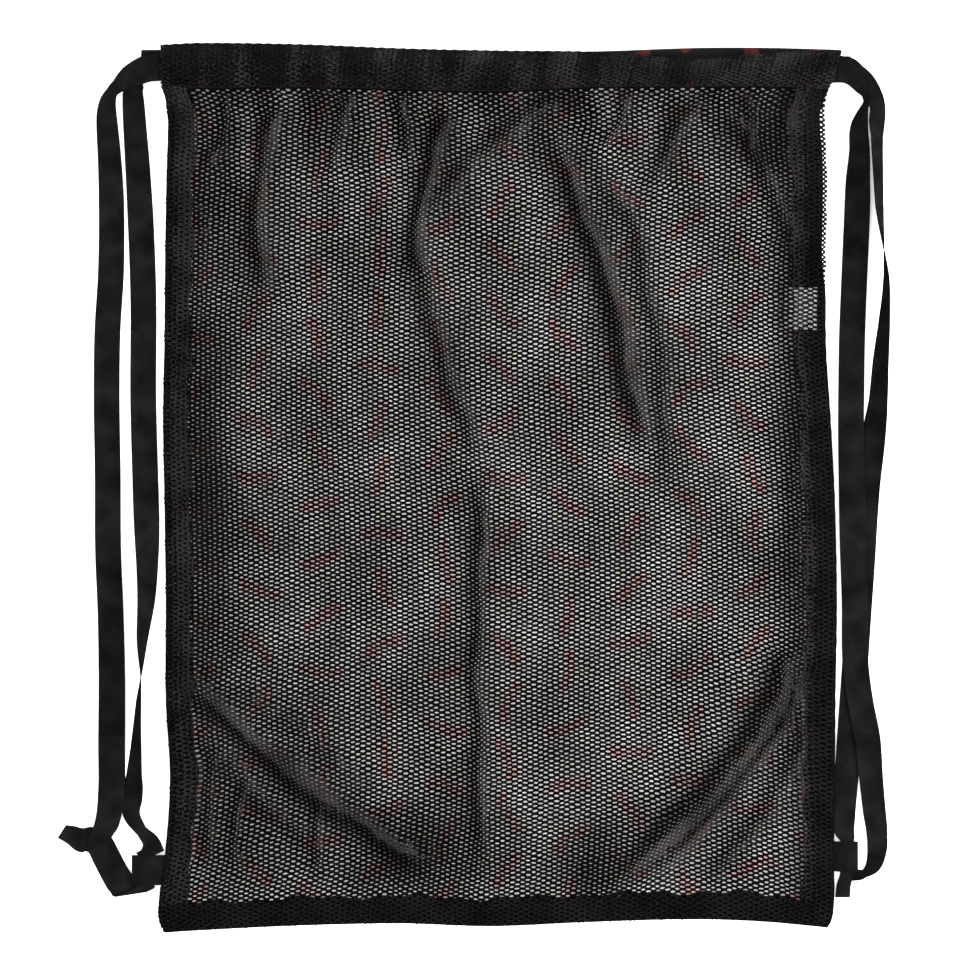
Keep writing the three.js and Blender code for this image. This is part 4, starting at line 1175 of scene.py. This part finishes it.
def casing_run(side, material):
    """Tape along the front casing, round the far end of the mouth and back along the back casing."""
    outward = OUTWARD[side]
    far = {"left": "right", "right": "left"}[side]
    share = np.linspace(0, 1, RUN_STEPS + 1)
    inner = np.interp(share, RUN[:, 0], RUN[:, 1])
    gathered = np.interp(share, RUN[:, 0], RUN[:, 2])

    def level(top, outer_z, inward):
        middle = (end_at("stitch", 0) + end_at(top, 0)) / 2
        x = lerp(side_at(side, middle), side_at(far, middle), share)
        low, high = end_at("stitch", x), end_at(top, x)
        y = (low + high) / 2 - outward * GATHERED_SHIFT * (high - low) * gathered
        z = outer_z + inward * LAYER * inner
        return np.stack([x, y, z], axis=1), lerp(TAPE_WIDTH, GATHERED_WIDTH * (high - low), gathered)

    front, front_width = level("front_top", CASING_Z - LAYER, -1)
    back, back_width = level("back_top", BACK_Z + LAYER, 1)
    start, end = front[-1], back[-1]
    radius = (start[2] - end[2]) / 2
    turn = np.linspace(0, 1, LOOP_STEPS + 1)
    loop = lerp(start, end, turn[:, None])
    loop[:, 0] -= outward * (LOOP_STRAIGHT + radius * np.sin(np.pi * turn))
    loop[:, 2] = end[2] + radius * (1 + np.cos(np.pi * turn))
    points = np.concatenate([front, loop, back[::-1]])
    widths = np.concatenate([front_width, np.full(len(loop), TAPE_WIDTH), back_width[::-1]])
    return level_ribbon("tape_drawcord_" + side + "_run", points, widths, TAPE_THICK, material)


# Panels

def ridge_sides(x, y):
    """How much the ridges gather the net on their steep and on their gentle sides."""
    steep, gentle = np.zeros(np.shape(x)), np.zeros(np.shape(x))
    for ridge in RIDGES:
        distance, share = ridge_crest(ridge, x, y)[:2]
        strength = np.minimum(ridge[8] / FULL_RISE, 1) * fade_ends(share)
        steep = steep + strength * np.exp(-((distance / ridge[7] + STEEP_PLACE) ** 2))
        gentle = gentle + strength * np.exp(-((distance / ridge[6] - GENTLE_PLACE) / GENTLE_WIDTH) ** 2)
    return steep, gentle


def net_openness(x, y):
    steep, gentle = ridge_sides(x, y)
    closed = STEEP_CLOSED * steep + GENTLE_CLOSED * gentle + patches(VEILS, x, y) + patches(SLACK, x, y)
    drop = end_at("stitch", x) - y
    even, rippling = GATHER_SHARES
    gathers = lerp(*GATHER_CLOSED, smooth(x, *GATHER_SPAN)) * np.exp(-drop / GATHER_DEPTH)
    gathers = gathers * (even + rippling * ripple("gathers", x, STREAK * y))
    base = lerp(*BASE_OPEN, smooth(x, *BASE_SPAN)) + OPEN_WANDER * ripple("holes", x, y)
    return np.clip(base - closed - gathers, *OPEN_LIMITS)


def front_net(materials):
    def place(s, t):
        x, y = draw_in(*panel_plan(s / PANEL_WIDTH, t / PANEL_HEIGHT))
        x, y = x + NET_SWAY * ripple("knot_x", x, y), y + NET_SWAY * ripple("knot_y", y, x)
        return x, y, front_height(x, y)

    def openness(s, t):
        x, y = panel_plan(s / PANEL_WIDTH, t / PANEL_HEIGHT)
        sewn = over_side_seam(x, y) | (y < bottom_inner(x))
        return net_openness(x, y) + SEWN_OPEN * sewn

    def kind(s, t):
        x, y = panel_plan(s / PANEL_WIDTH, t / PANEL_HEIGHT)
        on_side, on_bottom = over_side_seam(x, y), y < bottom_inner(x)
        edge_left = x - side_at("left", y) - DARK_EDGE["left"]
        edge_right = side_at("right", y) - x - DARK_EDGE["right"]
        # painted sheen and glints on the yarn over the side seams, inward of their dark edge
        inside = np.minimum(edge_left, edge_right) + DARK_SCATTER * ripple("backed_sheen_yarn", x, y) > 0
        backed_sheen = on_side & ~on_bottom & inside
        # painted highlight: the lit yarn on the gentle side of the ridges
        lit = ~on_side & (ridge_sides(x, y)[1] + LIT_SCATTER * ripple("lit_yarn", x, y) > LIT_LEAST)
        # painted sheen: grey yarn on the outer parts of the seams, on the bottom seam and in the small folds
        misty_sheen = patches(VEILS, x, y) + MISTY_SHEEN_SCATTER * ripple("misty_sheen_yarn", x, y) > MISTY_SHEEN_LEAST
        return np.select([backed_sheen, lit, on_side | on_bottom | misty_sheen], [BACKED_SHEEN, LIT, MISTY_SHEEN], PLAIN)

    return net("net_front", PANEL_WIDTH, PANEL_HEIGHT, place, openness, materials, kind)


def casing_net(materials):
    def place(s, t):
        share = t / CASING_CUT
        x, y, z = casing_point(s / PANEL_WIDTH, share, "front_top", STITCH_Z, CASING_Z, -1)
        wall_share = np.clip(share / CASING_STOPS[2], 0, 1)
        pucker = np.clip(ripple("gathers", x, STREAK * y), 0, 1)
        x = x + NET_SWAY * ripple("knot_x", x, y)
        return x, y, z + PUCKER_RISE * pucker * np.sin(np.pi * wall_share)

    def openness(s, t):
        fold = np.exp(-((t / CASING_CUT - 0.5) / CASING_CLOSED_HALF) ** 2)
        return 1 + SEWN_OPEN - CASING_CLOSED * fold + OPEN_WANDER * ripple("casing_holes", s, t)

    def kind(s, t):
        # lighter copy as painted sheen, darker copy as painted shade, in streaks along the casing
        lightness = CASING_SCATTER * ripple("misty_sheen_yarn", s, t) + ripple("gathers", s, STREAK * t)
        return np.where(lightness > lerp(*CASING_LEAST, s / PANEL_WIDTH), BACKED_SHEEN, MISTY_SHEEN)

    return net("net_casing", PANEL_WIDTH, CASING_CUT, place, openness, materials, kind)


def cloth_shade(x, y):
    """Share of light on the cloth behind the net, painted into its colour as painted shade: less under its
    folds, beside the seams and in soft uneven patches.
    """
    steep, gentle = ridge_sides(x, y)
    folds = (1 - STEEP_SHADE * np.minimum(steep, 1)) * (1 - GENTLE_SHADE * np.minimum(gentle, 1))
    # painted shade in soft uneven patches
    mottled_shade = 1 - MOTTLED_SHADE * (1 + ripple("mottled_shade", x, y)) / 2
    left = lerp(1 - LEFT_SHADE, 1, smooth(x, *LEFT_SPAN))
    right = lerp(1 - RIGHT_SHADE, 1, smooth(seam_inner("right", y) - x, 0, RIGHT_REACH))
    return folds * mottled_shade * left * right


def add_shade(piece):
    """Keeps the painted shade of the cloth, its share of light, in a second map for its material."""
    mesh = piece.data
    places = np.zeros(3 * len(mesh.vertices), dtype=np.float32)
    mesh.vertices.foreach_get("co", places)
    shade = cloth_shade(*places.reshape(-1, 3)[:, :2].T.astype(float))
    add_map(mesh, "shade", np.stack([shade, shade], axis=1))


def back_cloth(inside, outside):
    u = np.linspace(0, 1, BACK_COLUMNS + 1)
    body_u, body_v = np.meshgrid(u, np.linspace(0, 1, BACK_ROWS + 1))
    x, y = panel_plan(body_u, body_v)
    z = back_height(x, y)
    body = np.stack([x - set_back("right", y) * body_u ** FLAP_SHARP, y, z], axis=-1)
    fold_u, fold_share = np.meshgrid(u, np.linspace(0, 1, CASING_ROWS + 1)[1:])
    floor = BACK_Z + BACK_LIFT
    x, y, z = casing_point(fold_u, fold_share, "back_top", floor, floor, 1)
    flap = FLAP_REACH * (1 - fold_u) ** FLAP_SHARP * smooth(y, FLAP_LOW, FLAP_HIGH)
    casing = np.stack([x - flap, y, z], axis=-1)
    uv_body = np.stack([body_u * PANEL_WIDTH, body_v * PANEL_HEIGHT], axis=-1)
    uv_casing = np.stack([fold_u * PANEL_WIDTH, PANEL_HEIGHT + fold_share * CASING_CUT], axis=-1)
    return shell("back_cloth", np.concatenate([body, casing]), np.concatenate([uv_body, uv_casing]),
                 BACK_THICK, [inside, outside], (0, 1))


def side_seam(side, material):
    foot = end_at("bottom", side_at(side, SIDES[0, 0]))
    y = np.linspace(foot, SLIT_FOOT, SEAM_ROWS + 1)
    x, rows = strip_grid(y, sewn_side(side, y), seam_inner(side, y), SEAM_COLUMNS)
    rows = rows + (end_at("bottom", x) - foot) * (1 - smooth(rows, foot, foot + SEAM_FOOT_RUN))
    z = SEAM_Z + SEAM_WAVE * ripple("seam", x, rows)
    return plain_cloth("seam_" + side + "_cloth", x, rows, z, SEAM_THICK, material)


def slit_hem(side, material):
    """Turned edge of the front panel beside the slit, from the side seam up to the stitch line."""
    top = end_at("stitch", side_at(side, SLIT_FOOT)) - GAP
    y = np.linspace(SLIT_FOOT - SLIT_LAP, top, SLIT_ROWS)
    outer = sewn_side(side, y) - OUTWARD[side] * GAP
    inner = side_at(side, y) - OUTWARD[side] * (GAP + SEAM_WIDTH[side])
    x, rows = strip_grid(y, outer, inner, SEAM_COLUMNS)
    z = front_height(x, rows) - SLIT_DROP
    return plain_cloth("slit_" + side + "_hem", x, rows, z, SLIT_THICK, material)


def bottom_seam(material):
    left = seam_inner("left", SEAM_CORNER) + GAP
    right = seam_inner("right", SEAM_CORNER) - GAP
    x, share = np.meshgrid(np.linspace(left, right, SEAM_ROWS + 1), np.linspace(0, 1, SEAM_COLUMNS + 1))
    y = lerp(end_at("bottom", x), bottom_inner(x), share)
    z = SEAM_Z + SEAM_WAVE * ripple("seam", x, y)
    return plain_cloth("seam_bottom_cloth", x, y, z, SEAM_THICK, material)


def rolled_edge(material):
    """Turned edge that closes the bag along its left side, bottom and right side."""
    foot = SIDES[0, 0]
    y = np.linspace(SLIT_FOOT, foot + ROLL_CORNER, ROLL_SIDE_STEPS)
    left = np.stack([sewn_side("left", y) + ROLL_INSET["left"], y], axis=1)
    ends = side_at("left", foot) + ROLL_CORNER, side_at("right", foot) - ROLL_CORNER
    x = np.linspace(*ends, ROLL_BOTTOM_STEPS)
    bottom = np.stack([x, end_at("bottom", x) + ROLL_HALF[0]], axis=1)
    right = np.stack([sewn_side("right", y[::-1]) - ROLL_INSET["right"], y[::-1]], axis=1)
    plan = np.concatenate([left, bottom, right])
    points = np.concatenate([plan, np.full((len(plan), 1), ROLL_Z)], axis=1)
    heading = unit(np.gradient(points, axis=0))
    side = unit(np.cross(heading, [0.0, 0.0, 1.0]))
    angle = np.linspace(0, 2 * np.pi, ROLL_SIDES, endpoint=False)
    run = lengths_along(points)
    swell = 1 + ROLL_SWELL * np.sin(run / ROLL_SWELL_WAVES[0]) * np.sin(run / ROLL_SWELL_WAVES[1])
    swell = swell * lerp(ROLL_TIP, 1, smooth(np.minimum(run, run[-1] - run), 0, ROLL_TAPER))
    rings = side[:, None, :] * ROLL_HALF[0] * np.cos(angle)[None, :, None]
    rings = rings + np.array([0, 0, ROLL_HALF[1]]) * np.sin(angle)[None, :, None]
    rings = points[:, None, :] + swell[:, None, None] * rings
    uv = np.stack(np.broadcast_arrays(angle[None, :] * ROLL_HALF[0], run[:, None]), axis=-1)
    return tube("rolled_edge", rings, uv, material)


def tab(side, material):
    y, reach = TABS[side]
    half = (reach - TAB_STAND) / 2
    angle = np.radians(np.linspace(*TAB_TURN, TAB_TURN_STEPS))
    eye_x = TAB_STAND + half + (half - TAB_THICK / 2) * np.cos(angle)
    eye = np.stack([eye_x, TAB_Z + TAB_RISE * np.sin(angle)], axis=1)
    leg = np.linspace(-TAB_ROOT, TAB_STAND * TAB_LEG, TAB_LEG_STEPS)
    lower = np.stack([leg, np.full(TAB_LEG_STEPS, SEAM_Z - TAB_THICK * TAB_SPREAD)], axis=1)
    upper = np.stack([leg[::-1], np.full(TAB_LEG_STEPS, SEAM_Z + TAB_THICK * TAB_SPREAD)], axis=1)
    section = np.concatenate([lower, eye, upper])
    x = side_at(side, y) + OUTWARD[side] * section[:, 0]
    points = np.stack([x, np.full(len(x), y), section[:, 1]], axis=1)
    return level_ribbon("tape_tab_" + side, points, np.full(len(points), TAB_WIDTH), TAB_THICK, material)


def care_label(material):
    y = np.linspace(LABEL["low"], LABEL["high"], LABEL_ROWS + 1)
    edge = side_at("right", y) - LABEL["inset"]
    x, rows = strip_grid(y, edge - LABEL["width"], edge, LABEL_COLUMNS)
    bulge = LABEL_BULGE * np.sin(np.pi * np.linspace(0, 1, LABEL_COLUMNS + 1))[None, :]
    z = EDGE_Z + bulge + LABEL_WAVE * ripple("label", x, rows)
    return plain_cloth("care_label_cloth", x, rows, z, LABEL_THICK, material)


def casing_stitches(material):
    ends = side_at("left", ENDS[0, 2]) + STITCH_INSET, side_at("right", ENDS[0, 2]) - STITCH_INSET
    x = np.linspace(*ends, STITCH_STEPS)
    hem_y, net_y = (end_at("stitch", x) + row[0] for row in (HEM_STITCH, NET_STITCH))
    hem = np.stack([x, hem_y, np.full(len(x), STITCH_Z + HEM_STITCH[1])], axis=1)
    below = np.stack([x, net_y, front_height(x, net_y) + NET_STITCH[1]], axis=1)
    return threads("casing_stitches", [hem, below], material)


# Stage

def add_floor():
    corners = np.array([(-1, -1), (1, -1), (1, 1), (-1, 1)]) * FLOOR_HALF
    points = np.concatenate([corners, np.full((4, 1), FLOOR_Z)], axis=1)
    add_object("floor", points, [(0, 1, 2, 3)], corners, [floor_material()])


def add_light(name, place, size, power):
    data = bpy.data.lights.new(name, "AREA")
    data.shape = "DISK"
    data.size = size
    data.energy = power
    light = bpy.data.objects.new(name, data)
    light.location = place
    aim = -np.array(place)
    light.rotation_euler = (math.acos(-aim[2] / np.linalg.norm(aim)), 0, math.atan2(-aim[0], aim[1]))
    bpy.context.scene.collection.objects.link(light)


def add_dome():
    world = bpy.data.worlds.new("dome")
    world.use_nodes = True
    background = world.node_tree.nodes["Background"]
    background.inputs["Color"].default_value = (1, 1, 1, 1)
    background.inputs["Strength"].default_value = DOME_STRENGTH
    bpy.context.scene.world = world
    bpy.context.scene.view_settings.view_transform = "Standard"


add_camera()
tape = tape_material()
cord_paths = {}
cords = {}
for name in ROUTES:
    cords[name], cord_paths[name] = free_tape(name, tape)
runs = {side: casing_run(side, tape) for side in OUTWARD}

nets = [net_material(*yarn) for yarn in YARNS]
front = front_net(nets)
casing = casing_net(nets)
back = back_cloth(back_material("cloth_inside", shaded=True), back_material("cloth_printed"))
# painted shade of the cloth behind the net
add_shade(back)
seam_cloth = seam_material()
side_seams = {side: side_seam(side, seam_cloth) for side in OUTWARD}
slit_hems = {side: slit_hem(side, seam_cloth) for side in OUTWARD}
seam_foot = bottom_seam(seam_cloth)
edge = rolled_edge(seam_cloth)
tabs = {side: tab(side, tape) for side in OUTWARD}
label = care_label(label_material())
stitches = casing_stitches(thread_material())
add_floor()
for light in LIGHTS:
    add_light(*light)
add_dome()

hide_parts("front_panel")
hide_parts("back_panel")
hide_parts("seam_bottom")
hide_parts("care_label")
for side in OUTWARD:
    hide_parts("seam_" + side)
    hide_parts("tab_" + side)
    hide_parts("drawcord_" + side + "_run")

for name, far_end in FAR_ENDS.items():
    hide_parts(name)
